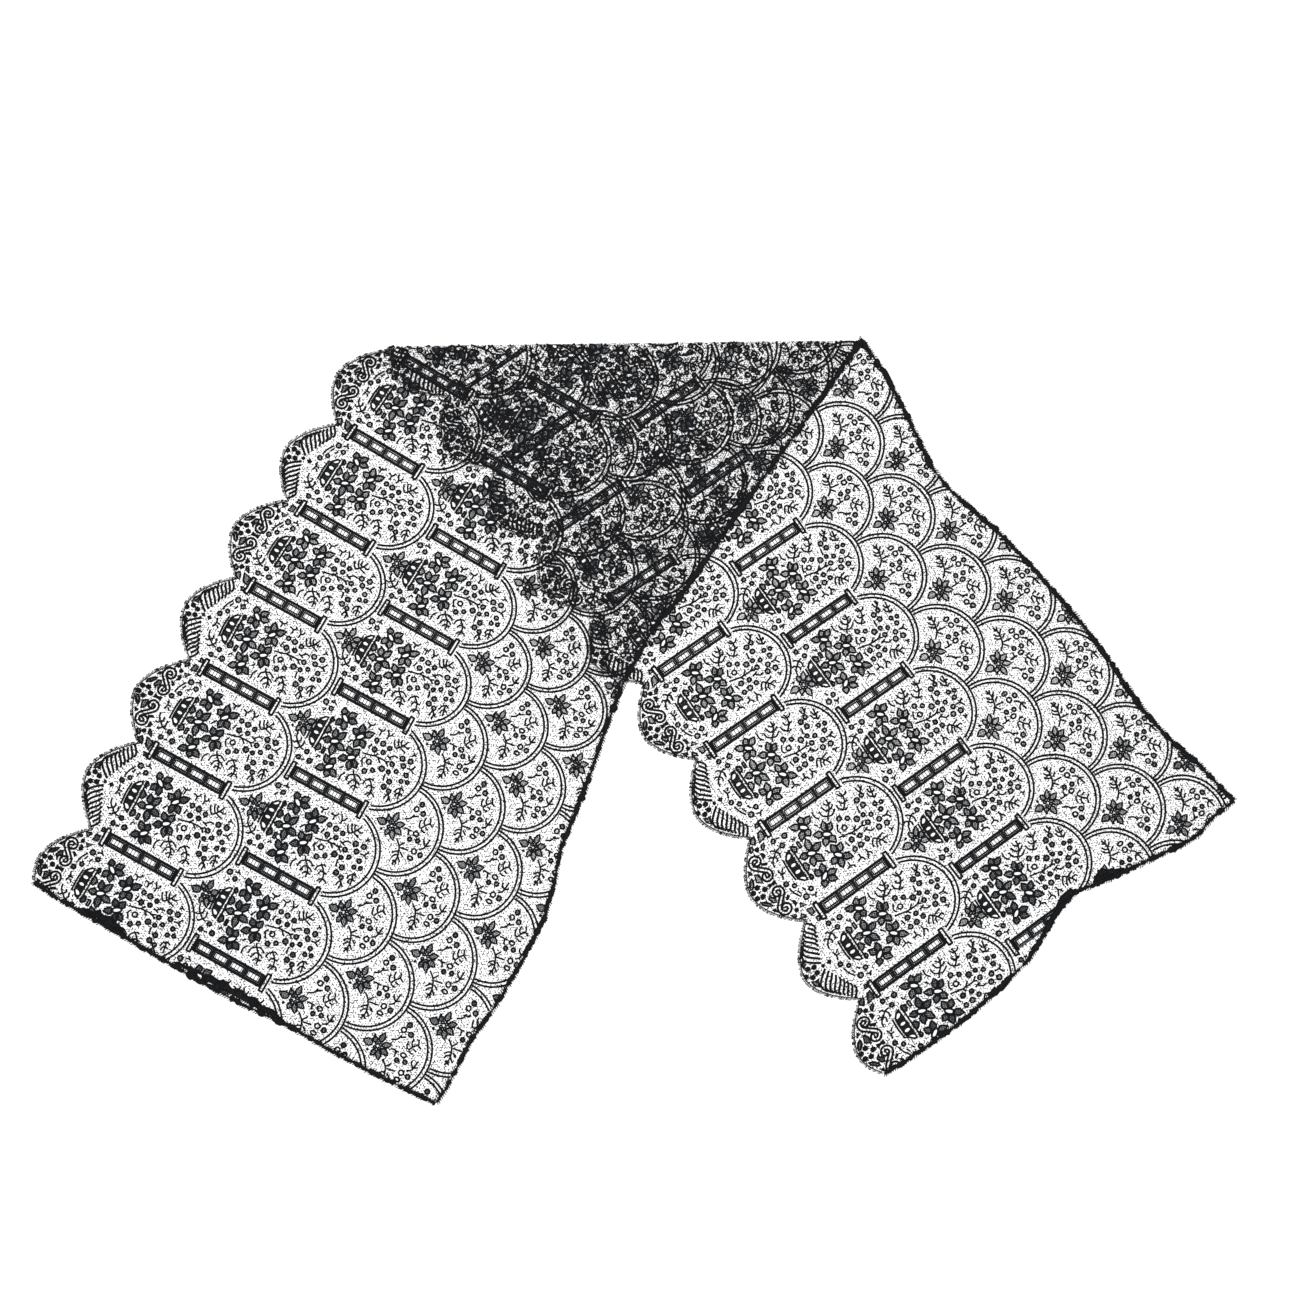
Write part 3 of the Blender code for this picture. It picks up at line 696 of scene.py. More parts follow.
def moved_sideways(line, distance):
    """A line moved sideways by a distance."""
    way = np.gradient(line, axis=0)
    way /= np.linalg.norm(way, axis=1)[:, None]
    return line + distance * np.column_stack((way[:, 1], -way[:, 0]))


# The two spirals of a scroll: middle, turns and distances out from start to end, and points.
SPIRALS = [
    ((-27.2, -28.4), (500, 125), (1.6, 6.4), 32),
    ((-9.8, -27.0), (-45, 270), (5.2, 1.6), 24),
]
SCROLL_ASIDE = 0.3
SCROLL_TIP, STRIPE_TIP = (0.4, -41.6), (-2.0, -43.2)


def spiral(middle, turns, reaches, count):
    """Points along a spiral about its middle."""
    angle = np.linspace(math.radians(turns[0]), math.radians(turns[1]), count)
    reach = np.linspace(*reaches, count)
    return np.column_stack((middle[0] + reach * np.sin(angle), middle[1] + reach * np.cos(angle)))


def scroll(drawing, along, side):
    """An S-shaped scroll of two threads, from its large spiral in to its small one."""
    line = np.concatenate([spiral(*one) for one in SPIRALS]) * (side, 1) + (along, 0)
    band = np.concatenate((moved_sideways(line, SCROLL_BAND),
                           moved_sideways(line, -SCROLL_BAND)[::-1]))
    drawing.thread(band, SCROLL_THREAD, True)


def scroll_scallop():
    """The border's scroll scallop: two scrolls, a bow, a tip flower and leaves."""
    drawing = Drawing()
    for side in (1, -1):
        scroll(drawing, SCROLL_ASIDE, side)
    tip_flower(drawing, *SCROLL_TIP, -1)
    leaves(drawing, SCROLL_LEAVES, LEAF_SWELL)
    return drawing


STRIPES = 9
STRIPE_ENDS = np.array(((3.6, -29.8), (24.6, -39.6)))    # the first cord, from in to out
STRIPE_SPREAD = np.array(((32.0, 13.6), (22.8, 17.6)))   # from its ends to those of the last
STRIPE_ASIDE = 1.0
# How a cord leaves its straight line: the place on its way out, and how far it lies aside there in
# the first, the middle and the last cord.
SAGS = [
    (0.27, -4.4, 0.7, 2.2),
    (0.52, -6.8, -0.9, 2.4),
    (0.77, -4.8, -2.4, 1.6),
]


def stripe_scallop():
    """The border's striped scallop: slanting cords on either side of a tip flower."""
    drawing = Drawing()
    for i in range(STRIPES):
        f = i / (STRIPES - 1)
        inner, outer = STRIPE_ENDS + STRIPE_SPREAD * f
        line = [inner]
        for part, first, middle, last in SAGS:
            sag = np.interp(f, (0, 0.5, 1), (first, middle, last))
            line.append(inner + part * (outer - inner) + (0, sag))
        line = smooth(line + [outer], 2.5)
        for side in (1, -1):
            drawing.thread(line * (side, 1) - (STRIPE_ASIDE, 0), STRIPE_THREAD)
    tip_flower(drawing, *STRIPE_TIP, 1)
    leaves(drawing, STRIPE_LEAVES)
    return drawing


def placed_motifs(stretch):
    """Every repeat of every motif that may show on a stretch, at its place on the chart."""
    first = math.floor(min(stretch.loose, stretch.past)) - 1
    last = math.ceil(max(stretch.loose, stretch.past)) + 1
    column, second = compartment(False), compartment(True)
    scallops = {0: stripe_scallop(), 1: scroll_scallop()}
    ladder, flower, scale = bar(), daisy(), fish_scale()
    page = Drawing()
    for k in range(first, last):
        at, half = k * REPEAT, (k + 0.5) * REPEAT
        page.put(column, half, 0.0)
        page.put(second, at, SECOND_COLUMN)
        page.put(ladder, at, 0.0)
        page.put(ladder, half, SECOND_COLUMN)
        page.put(scallops[k % 2], half, 0.0)
        page.put(flower, at, DAISY_ACROSS)
        for row in range(1, SCALE_ROWS + 1):
            page.put(scale, half if row % 2 else at,
                     SECOND_COLUMN + ARC_ACROSS + SCALE_PITCH * row - DAISY_TO_ARC)
    leaves(page, TURNED_IN[stretch.name])
    at = np.arange(first, last, 1 / 40.0)
    page.thread(np.column_stack((at * REPEAT, border_across(at) + EDGE_INSET)), EDGE_THREAD)
    return page


# ---------------------------------------------------------------- materials

def linear(code):
    """A colour from its sRGB hex code."""
    parts = [int(code[i:i + 2], 16) / 255 for i in (1, 3, 5)]
    return tuple(p / 12.92 if p <= 0.04045 else ((p + 0.055) / 1.055) ** 2.4
                 for p in parts) + (1.0,)


def add(tree, kind, inputs=None, **settings):
    """Add a node with its settings. An input takes a value, or a socket to link from."""
    node = tree.nodes.new(kind)
    for name, value in settings.items():
        setattr(node, name, value)
    for key, value in (inputs or {}).items():
        if isinstance(value, bpy.types.NodeSocket):
            tree.links.new(value, node.inputs[key])
        else:
            node.inputs[key].default_value = value
    return node


def new_material(name):
    """An empty material, and its node tree."""
    material = bpy.data.materials.new(name)
    material.use_nodes = True
    material.node_tree.nodes.clear()
    return material, material.node_tree


def thread_shader(tree, code, roughness, grain, strength):
    """Dull twisted thread: soft sheen, and a fine uneven twist in the bump."""
    where = add(tree, "ShaderNodeTexCoord").outputs["Object"]
    twist = add(tree, "ShaderNodeTexNoise", {"Vector": where, "Scale": 1.0 / grain,
                                             "Detail": 3.0})
    bump = add(tree, "ShaderNodeBump", {"Height": twist.outputs["Fac"], "Strength": strength,
                                        "Distance": 0.2 * MM})
    return add(tree, "ShaderNodeBsdfPrincipled",
               {"Base Color": linear(code), "Roughness": roughness, "IOR": 1.5,
                "Specular IOR Level": 0.10, "Sheen Weight": 0.02, "Sheen Roughness": 0.5,
                "Normal": bump.outputs["Normal"]})


def solid_thread(name, code, roughness, grain, strength):
    """Thread thick enough to be drawn whole."""
    material, tree = new_material(name)
    shader = thread_shader(tree, code, roughness, grain, strength)
    add(tree, "ShaderNodeOutputMaterial", {"Surface": shader.outputs[0]})
    return material


def gimp_thread():
    """Gimp: a thick, loosely twisted silk thread. It gives the eye a soft, near-black line."""
    return solid_thread("black_gimp_thread", "#0b0c0f", 0.62, 0.9 * MM, 0.6)


def rolled_edge():
    """The raw edge rolled tight and whipped over. It gives the eye a lumpy black cord."""
    return solid_thread("rolled_black_lace", "#101114", 0.72, 1.6 * MM, 1.0)


def see_through(tree, shader, cover):
    """Thread where cover is 1, and nothing where it is 0."""
    clear = add(tree, "ShaderNodeBsdfTransparent")
    mixed = add(tree, "ShaderNodeMixShader", {0: cover, 1: clear.outputs[0],
                                              2: shader.outputs[0]})
    add(tree, "ShaderNodeOutputMaterial", {"Surface": mixed.outputs[0]})


def chart_coordinates(tree, pitch, waver):
    """The chart in units of a pitch, with the small wavers of a handled cloth."""
    chart = add(tree, "ShaderNodeUVMap", uv_map="chart").outputs[0]
    noise = add(tree, "ShaderNodeTexNoise", {"Vector": chart, "Scale": 1.0 / (9 * MM),
                                             "Detail": 1.0}, noise_dimensions="2D")
    shift = add(tree, "ShaderNodeVectorMath", {0: noise.outputs["Color"], 1: (0.5, 0.5, 0.5)},
                operation="SUBTRACT").outputs[0]
    shift = add(tree, "ShaderNodeVectorMath", {0: shift, 1: (waver, waver, 0.0)},
                operation="MULTIPLY").outputs[0]
    cells = add(tree, "ShaderNodeVectorMath", {0: chart, 1: (1.0 / pitch, 1.0 / pitch, 0.0)},
                operation="MULTIPLY").outputs[0]
    return add(tree, "ShaderNodeVectorMath", {0: cells, 1: shift}, operation="ADD").outputs[0]


NET_PITCH = 2.8 * MM     # real net has a mesh of about 1.5 mm; drawn coarser so that it shows
NET_THREAD = (0.0, 0.21)  # half the least and most width of its thread, in pitches
NET_WAVER = 0.5          # how unevenly the net lies
STITCH_PITCH = 1.5 * MM  # real stitches lie under 1 mm apart; drawn coarser so that they show
STITCH_WAVER = 0.6
SQRT3 = math.sqrt(3)


def net_ground():
    """Bobbinet ground: fine thread in six-sided meshes. It gives the eye a light grey veil."""
    material, tree = new_material("black_bobbin_net")
    shader = thread_shader(tree, "#14161a", 0.7, 0.5 * MM, 0.3)
    cells = chart_coordinates(tree, NET_PITCH, NET_WAVER)
    half = (0.5, SQRT3 / 2, 0.0)
    back = tuple(-side for side in half)
    moved = add(tree, "ShaderNodeVectorMath", {0: cells, 1: half}, operation="ADD").outputs[0]
    meshes, sizes = [], []
    for places in (cells, moved):     # meshes lie in two sets, each between the other's
        mesh = add(tree, "ShaderNodeVectorMath", {0: places, 1: half, 2: back},
                   operation="WRAP").outputs[0]
        meshes.append(mesh)
        sizes.append(add(tree, "ShaderNodeVectorMath", {0: mesh},
                         operation="LENGTH").outputs["Value"])
    nearer = add(tree, "ShaderNodeMath", {0: sizes[0], 1: sizes[1]},
                 operation="LESS_THAN").outputs[0]
    cell = add(tree, "ShaderNodeMix", {0: nearer, 4: meshes[1], 5: meshes[0]},
               data_type="VECTOR").outputs[1]
    size = add(tree, "ShaderNodeVectorMath", {0: cell}, operation="ABSOLUTE").outputs[0]
    slanted = add(tree, "ShaderNodeVectorMath", {0: size, 1: half},
                  operation="DOT_PRODUCT").outputs["Value"]
    straight = add(tree, "ShaderNodeSeparateXYZ", {0: size}).outputs[0]
    reach = add(tree, "ShaderNodeMath", {0: slanted, 1: straight}, operation="MAXIMUM").outputs[0]
    from_edge = add(tree, "ShaderNodeMath", {0: 0.5, 1: reach}, operation="SUBTRACT").outputs[0]
    chart = add(tree, "ShaderNodeUVMap", uv_map="chart").outputs[0]
    uneven = add(tree, "ShaderNodeTexNoise", {"Vector": chart, "Scale": 1.0 / (2.2 * MM),
                                              "Detail": 1.0}, noise_dimensions="2D")
    width = add(tree, "ShaderNodeMapRange",
                {0: uneven.outputs["Fac"], 1: 0.47, 2: 0.68, 3: NET_THREAD[0],
                 4: NET_THREAD[1]}).outputs[0]
    cover = add(tree, "ShaderNodeMath", {0: from_edge, 1: width}, operation="LESS_THAN")
    see_through(tree, shader, cover.outputs[0])
    return material


def stitched(name, code, least, most):
    """A lattice of slanting threads, between the least and the most share of it that is thread."""
    material, tree = new_material(name)
    shader = thread_shader(tree, code, 0.68, 0.6 * MM, 0.5)
    cells = chart_coordinates(tree, STITCH_PITCH, STITCH_WAVER)
    slanted = add(tree, "ShaderNodeMapping", {"Vector": cells, "Rotation": (0, 0, math.pi / 4)},
                  vector_type="POINT").outputs[0]
    gap = add(tree, "ShaderNodeVectorMath", {0: slanted, 1: (0.5, 0.5, 0.0), 2: (-0.5, -0.5, 0.0)},
              operation="WRAP").outputs[0]
    gap = add(tree, "ShaderNodeVectorMath", {0: gap}, operation="ABSOLUTE").outputs[0]
    parts = add(tree, "ShaderNodeSeparateXYZ", {0: gap}).outputs
    edge = add(tree, "ShaderNodeMath", {0: parts[0], 1: parts[1]}, operation="MAXIMUM").outputs[0]
    close = add(tree, "ShaderNodeAttribute", attribute_name="stitch_closeness").outputs["Fac"]
    size = add(tree, "ShaderNodeMapRange",
               {0: close, 1: 0.0, 2: 1.0, 3: math.sqrt(1 - least) / 2,
                4: math.sqrt(1 - most) / 2}).outputs[0]
    cover = add(tree, "ShaderNodeMath", {0: edge, 1: size}, operation="GREATER_THAN")
    see_through(tree, shader, cover.outputs[0])
    return material


def half_stitch():
    """Half stitch: an open lattice of threads. It gives petals and leaves a cool grey."""
    return stitched("black_half_stitch", "#20272c", 0.62, 0.985)


def light_stitch():
    """Half stitch worked wide. It leaves the daisies of the plain side lighter inside."""
    return stitched("open_black_half_stitch", "#262e34", 0.50, 0.92)


def cloth_stitch():
    """Cloth stitch: threads woven close. It gives baskets, bars and knots a solid black."""
    return stitched("black_cloth_stitch", "#0e1013", 0.97, 1.0)


def pale_paper():
    """Matt white studio paper: even and bright, with the faintest tooth."""
    material, tree = new_material("matt_studio_paper")
    where = add(tree, "ShaderNodeTexCoord").outputs["Object"]
    tooth = add(tree, "ShaderNodeTexNoise", {"Vector": where, "Scale": 900.0, "Detail": 2.0})
    bump = add(tree, "ShaderNodeBump", {"Height": tooth.outputs["Fac"], "Strength": 0.05,
                                        "Distance": 0.1 * MM})
    shader = add(tree, "ShaderNodeBsdfPrincipled",
                 {"Base Color": linear("#f7f7f7"), "Roughness": 0.9, "Specular IOR Level": 0.1,
                  "Normal": bump.outputs["Normal"]})
    add(tree, "ShaderNodeOutputMaterial", {"Surface": shader.outputs[0]})
    return material


# ---------------------------------------------------------------- the sheets of lace

GRID = 9.0               # spacing of the cloth's own points
GRID_START = (1.3, 1.7)  # keeps them off the lines of the chart
SEED = 7

# How close the stitches lie, from 0 to 1: two repeats, and the closeness at each. They are closest
# at the loose ends, and open on the lower stretch.
CLOSENESS = {"upper": ((0.5, 3.0), (0.52, 0.10)), "lower": ((13.2, 15.2), (0.0, 0.45))}
UNEVEN = 0.35            # how much closer one patch may be than the next


def cut_ring(stretch):
    """The cut edge of a stretch on the chart: end, long side, past the fold, and the border."""
    across = np.arange(-BORDER_REACH, max(mark[1] for mark in stretch.end), 2.0)
    end = np.column_stack((end_at(stretch, across) * REPEAT + stretch.way * NET_INSET, across))
    inner, outer = sorted((stretch.loose, stretch.past))
    at = np.arange(inner, outer, 1 / 24.0)[::stretch.way]
    head = np.column_stack((at * REPEAT, head_across(stretch, at) - NET_INSET))
    border = np.column_stack((at * REPEAT, border_across(at)))[::-1]
    kept = [part[is_cloth(stretch, part, NET_INSET - 0.05)] for part in (end, head, border)]
    return np.concatenate(kept)


def shown(stretch, points, margin):
    """Which points of the chart aren't past the fold's half turn."""
    return past_fold(stretch, laid(stretch, points)) < math.pi * FOLD_RADIUS + margin


def is_within(ring, points):
    """Which points lie inside a ring."""
    ahead = np.roll(ring, -1, axis=0)
    x, y = points[:, :1], points[:, 1:]
    spans = (ring[:, 1] > y) != (ahead[:, 1] > y)
    rise_of = np.where(ahead[:, 1] == ring[:, 1], 1.0, ahead[:, 1] - ring[:, 1])
    crossing = ring[:, 0] + (y - ring[:, 1]) * (ahead[:, 0] - ring[:, 0]) / rise_of
    return (spans & (x < crossing)).sum(axis=1) % 2 == 1


def closeness(stretch, along):
    """How close the stitches lie at a place along a stretch."""
    return float(np.interp(along / REPEAT, *CLOSENESS[stretch.name]))


def lace_cells(stretch, page):
    """Triangles of the stretch on the chart, with each one's stitch and how close it is."""
    ring = cut_ring(stretch)
    patches = [p for p in page.patches if is_cloth(stretch, p.ring, -6.0).any()
               and shown(stretch, p.ring, 3.0).any()]
    rings = [ring] + [p.ring for p in patches]
    low, high = ring.min(axis=0), ring.max(axis=0)
    lines = [np.arange(low[i] + GRID_START[i], high[i], GRID) for i in (0, 1)]
    grid = np.stack(np.meshgrid(*lines), axis=-1).reshape(-1, 2)
    grid = grid[is_cloth(stretch, grid, NET_INSET + 2.0) & shown(stretch, grid, GRID)]
    edges, count = [], 0
    for one in rings:
        edges += [(count + i, count + (i + 1) % len(one)) for i in range(len(one))]
        count += len(one)
    points = [Vector(p) for p in np.concatenate(rings + [grid])]
    placed, _, triangles, *_ = delaunay_2d_cdt(points, edges, [], 0, 0.001)
    placed, triangles = np.array([tuple(v) for v in placed]), np.array(triangles)
    middles = placed[triangles].mean(axis=1)
    random = np.random.default_rng(SEED)
    kind = np.zeros(len(triangles), int)
    close = np.full(len(triangles), 0.5)
    order = np.argsort(middles[:, 0])
    sorted_along = middles[order, 0]
    for patch in patches:
        low, high = patch.ring.min(axis=0), patch.ring.max(axis=0)
        near = order[slice(*np.searchsorted(sorted_along, (low[0], high[0])))]
        near = near[(middles[near, 1] > low[1]) & (middles[near, 1] < high[1])]
        inside = near[is_within(patch.ring, middles[near])]
        inside = inside[kind[inside] <= patch.stitch]
        kind[inside] = patch.stitch
        even = closeness(stretch, middles[inside, 0].mean())
        close[inside] = even + random.random() * UNEVEN
    keep = (is_cloth(stretch, middles, NET_INSET - 0.5) & (kind != OPEN)
            & shown(stretch, middles, 2 * GRID))
    return placed, triangles[keep], kind[keep], close[keep]


def bisected(bm, place, normal, clear_outer=False):
    """Cut the plane sheet along a line, and drop what lies past it if asked."""
    everything = bm.verts[:] + bm.edges[:] + bm.faces[:]
    bmesh.ops.bisect_plane(bm, geom=everything, dist=0.0005,
                           plane_co=(place[0], place[1], 0),
                           plane_no=(normal[0], normal[1], 0), clear_outer=clear_outer)


def lace_sheet(stretch, page, materials):
    """A stretch of lace: net, half stitch and cloth stitch in one thin shell."""
    placed, triangles, kind, close = lace_cells(stretch, page)
    plane = laid(stretch, placed)
    mesh = bpy.data.meshes.new(stretch.name + "_lace")
    mesh.from_pydata(np.column_stack((plane, np.zeros(len(plane)))).tolist(), [],
                     triangles.tolist())
    uv = mesh.uv_layers.new(name="chart")
    uv.data.foreach_set("uv", (placed[triangles.ravel()] * MM).astype(np.float32).ravel())
    mesh.polygons.foreach_set("material_index", kind.astype(np.int32))
    field = mesh.attributes.new("stitch_closeness", "FLOAT", "FACE")
    field.data.foreach_set("value", close.astype(np.float32))

    bm = bmesh.new()
    bm.from_mesh(mesh)
    place, outward = fold_frame(stretch)
    turn = math.pi * FOLD_RADIUS if stretch.turns else 0.0
    bisected(bm, place + turn * outward, outward, clear_outer=True)
    if stretch.turns:
        for i in range(FOLD_STEPS):
            bisected(bm, place + outward * turn * i / FOLD_STEPS, outward)
        start, out = step_frame()
        for i in range(STEP_ROWS + 1):
            bisected(bm, start + out * (STEP_START + STEP_WIDTH * i / STEP_ROWS), out)
    loose = [v for v in bm.verts if not v.link_faces]
    bmesh.ops.delete(bm, geom=loose, context="VERTS")
    flat = np.array([v.co[:2] for v in bm.verts])
    for vert, co in zip(bm.verts, rested(stretch, flat, 0.0)):
        vert.co = co
    bmesh.ops.recalc_face_normals(bm, faces=bm.faces)
    if sum(face.normal.z for face in bm.faces) < 0:
        bmesh.ops.reverse_faces(bm, faces=bm.faces)
    bm.to_mesh(mesh)
    bm.free()

    for material in materials:
        mesh.materials.append(material)
    sheet = bpy.data.objects.new(stretch.name + "_lace", mesh)
    bpy.context.scene.collection.objects.link(sheet)
    wall = sheet.modifiers.new("wall", "SOLIDIFY")
    wall.thickness = LACE_THICK * MM
    wall.offset = 0.0
    made_plain(sheet)
    return sheet


# ---------------------------------------------------------------- laid threads, by nodes

def made_plain(piece):
    """The mesh as its modifiers leave it, with no modifier left on the piece."""
    graph = bpy.context.evaluated_depsgraph_get()
    mesh = bpy.data.meshes.new_from_object(piece.evaluated_get(graph))
    old = piece.data
    piece.modifiers.clear()
    piece.data = mesh
    mesh.name = piece.name
    bpy.data.meshes.remove(old)


def node_tree(name, inputs):
    """An empty tree of geometry nodes with named inputs."""
    tree = bpy.data.node_groups.new(name, "GeometryNodeTree")
    tree.interface.new_socket("Geometry", in_out="INPUT", socket_type="NodeSocketGeometry")
    for label, kind in inputs:
        tree.interface.new_socket(label, in_out="INPUT", socket_type="NodeSocket" + kind)
    tree.interface.new_socket("Geometry", in_out="OUTPUT", socket_type="NodeSocketGeometry")
    return tree, tree.nodes.new("NodeGroupInput").outputs


def followed(tree, given):
    """The guide lines as curves, level all along."""
    curve = add(tree, "GeometryNodeMeshToCurve", {0: given["Geometry"]}).outputs[0]
    return add(tree, "GeometryNodeSetCurveNormal", {0: curve}, mode="Z_UP").outputs[0]


def spaced(tree, path, pitch):
    """Points along a path, and the turn that faces each along it."""
    spots = add(tree, "GeometryNodeCurveToPoints", {0: path, "Length": pitch}, mode="LENGTH")
    facing = add(tree, "FunctionNodeAxesToRotation",
                 {0: (0.0, 0.0, 1.0), 1: spots.outputs["Tangent"]},
                 primary_axis="Z", secondary_axis="X").outputs[0]
    return spots.outputs["Points"], facing


def finished(tree, shape, material):
    """End a tree: real geometry, smooth, with its material."""
    real = add(tree, "GeometryNodeRealizeInstances", {0: shape}).outputs[0]
    soft = add(tree, "GeometryNodeSetShadeSmooth", {0: real}).outputs[0]
    done = add(tree, "GeometryNodeSetMaterial", {0: soft, "Material": material}).outputs[0]
    add(tree, "NodeGroupOutput", {0: done})


def laid_thread_tree():
    """Sweep every drawn line as a thread, low and rounded, as wide as its own number says."""
    tree, given = node_tree("laid_thread", [("Sides", "Int"), ("Flatness", "Float"),
                                            ("Material", "Material")])
    width = add(tree, "GeometryNodeInputNamedAttribute", {"Name": "width"},
                data_type="FLOAT").outputs[0]
    round_one = add(tree, "GeometryNodeCurvePrimitiveCircle",
                    {"Resolution": given["Sides"], "Radius": 0.5}, mode="RADIUS").outputs[0]
    squeeze = add(tree, "ShaderNodeCombineXYZ", {0: 1.0, 1: given["Flatness"],
                                                 2: 1.0}).outputs[0]
    section = add(tree, "GeometryNodeTransform", {0: round_one, "Scale": squeeze}).outputs[0]
    swept = add(tree, "GeometryNodeCurveToMesh",
                {0: followed(tree, given), "Profile Curve": section, "Scale": width,
                 "Fill Caps": True}).outputs[0]
    finished(tree, swept, given["Material"])
    return tree


def run_nodes(piece, tree, **values):
    """Put a piece through a node tree, its inputs set by identifier, and keep the plain mesh."""
    modifier = piece.modifiers.new(tree.name, "NODES")
    modifier.node_group = tree
    for item in tree.interface.items_tree:
        if item.item_type == "SOCKET" and item.in_out == "INPUT" and item.name in values:
            modifier[item.identifier] = values[item.name]
    made_plain(piece)


def path_edges(count):
    """Edges between points that follow each other."""
    i = np.arange(count)
    return np.column_stack((i[:-1], i[1:]))


def guide_mesh(name, places, edges, widths=None):
    """A mesh of edges alone, for nodes to follow."""
    mesh = bpy.data.meshes.new(name)
    mesh.from_pydata(places.tolist(), edges.tolist(), [])
    if widths is not None:
        field = mesh.attributes.new("width", "FLOAT", "POINT")
        field.data.foreach_set("value", widths.astype(np.float32))
    piece = bpy.data.objects.new(name, mesh)
    bpy.context.scene.collection.objects.link(piece)
    return piece


THREAD_SIDES = 4
THREAD_FLATNESS = 0.3    # its height as a share of its width
THREAD_LIFT = 0.3        # the middle of a laid thread above the middle of the lace


def laid_threads(name, stretch, threads, tree, material):
    """All the drawn threads of a stretch that lie on the lace, as one piece."""
    points = np.concatenate([t.points for t in threads])
    widths = np.concatenate([np.full(len(t.points), t.width) for t in threads]) * MM
    edges, start = [], 0
    for thread in threads:
        count = len(thread.points)
        edges.append(start + path_edges(count))
        if thread.closed:
            edges.append([(start + count - 1, start)])
        start += count
    edges = np.concatenate(edges)
    plane = laid(stretch, points)
    turn = THREADS_TURN * math.pi * FOLD_RADIUS if stretch.turns else 0.0
    keep = is_cloth(stretch, points, NET_INSET) & (past_fold(stretch, plane) < turn)
    edges = edges[keep[edges].all(axis=1)]
    used = np.zeros(len(points), bool)
    used[edges.ravel()] = True
    number = np.cumsum(used) - 1
    places = rested(stretch, plane[used], THREAD_LIFT)
    piece = guide_mesh(name, places, number[edges], widths[used])
    run_nodes(piece, tree, Sides=THREAD_SIDES, Flatness=THREAD_FLATNESS, Material=material)
    return piece


# ---------------------------------------------------------------- the fringe and the hems

LEAN = 0.9               # how far a loop of the fringe may lean to either side, in radians
LOOP_SIZES = (0.4, 1.8)
LOOP_SHAPE = (0.5, 1.4, 1.0)


def picot_tree():
    """Small loops of thread in a row along the border, each leaning its own way."""
    tree, given = node_tree("picot_fringe", [("Pitch", "Float"), ("Loop", "Float"),
                                             ("Thread", "Float"), ("Seed", "Int"),
                                             ("Material", "Material")])
    spots, facing = spaced(tree, followed(tree, given), given["Pitch"])
    lean = add(tree, "FunctionNodeRandomValue", {2: -LEAN, 3: LEAN, "Seed": given["Seed"]},
               data_type="FLOAT").outputs[1]
    turn = add(tree, "ShaderNodeCombineXYZ", {2: lean}).outputs[0]
    leaning = add(tree, "FunctionNodeRotateRotation", {0: facing, 1: turn},
                  rotation_space="LOCAL").outputs[0]
    size = add(tree, "FunctionNodeRandomValue",
               {2: LOOP_SIZES[0], 3: LOOP_SIZES[1], "Seed": given["Seed"]},
               data_type="FLOAT").outputs[1]
    ring = add(tree, "GeometryNodeCurvePrimitiveCircle",
               {"Resolution": 9, "Radius": given["Loop"]}, mode="RADIUS").outputs[0]
    long_ring = add(tree, "GeometryNodeTransform", {0: ring, "Translation": (0, -0.6 * MM, 0),
                                                    "Scale": LOOP_SHAPE}).outputs[0]
    thin = add(tree, "GeometryNodeCurvePrimitiveCircle",
               {"Resolution": 3, "Radius": given["Thread"]}, mode="RADIUS").outputs[0]
    loop = add(tree, "GeometryNodeCurveToMesh", {0: long_ring, "Profile Curve": thin}).outputs[0]
    row = add(tree, "GeometryNodeInstanceOnPoints",
              {"Points": spots, "Instance": loop, "Rotation": leaning, "Scale": size}).outputs[0]
    finished(tree, row, given["Material"])
    return tree


def picots(stretch, tree, material):
    """The looped fringe of a stretch's scalloped border."""
    inner, outer = sorted((stretch.loose, stretch.past))
    at = np.arange(inner, outer, 1 / 48.0)
    points = np.column_stack((at * REPEAT, border_across(at)))
    plane = laid(stretch, points)
    keep = is_cloth(stretch, points, NET_INSET) & (past_fold(stretch, plane) < -0.5)
    places = rested(stretch, plane[keep], 0.1)
    if places[0, 1] < places[-1, 1]:
        places = places[::-1]
    piece = guide_mesh(stretch.name + "_picots", places, path_edges(len(places)))
    run_nodes(piece, tree, Pitch=1.4 * MM, Loop=0.9 * MM, Thread=0.28 * MM, Seed=3,
              Material=material)
    return piece


ROLL_STEP = 1.4 * MM     # between rings of points along the roll
WHIP_THREAD = 0.42 * MM  # half its width; drawn coarser so that it shows


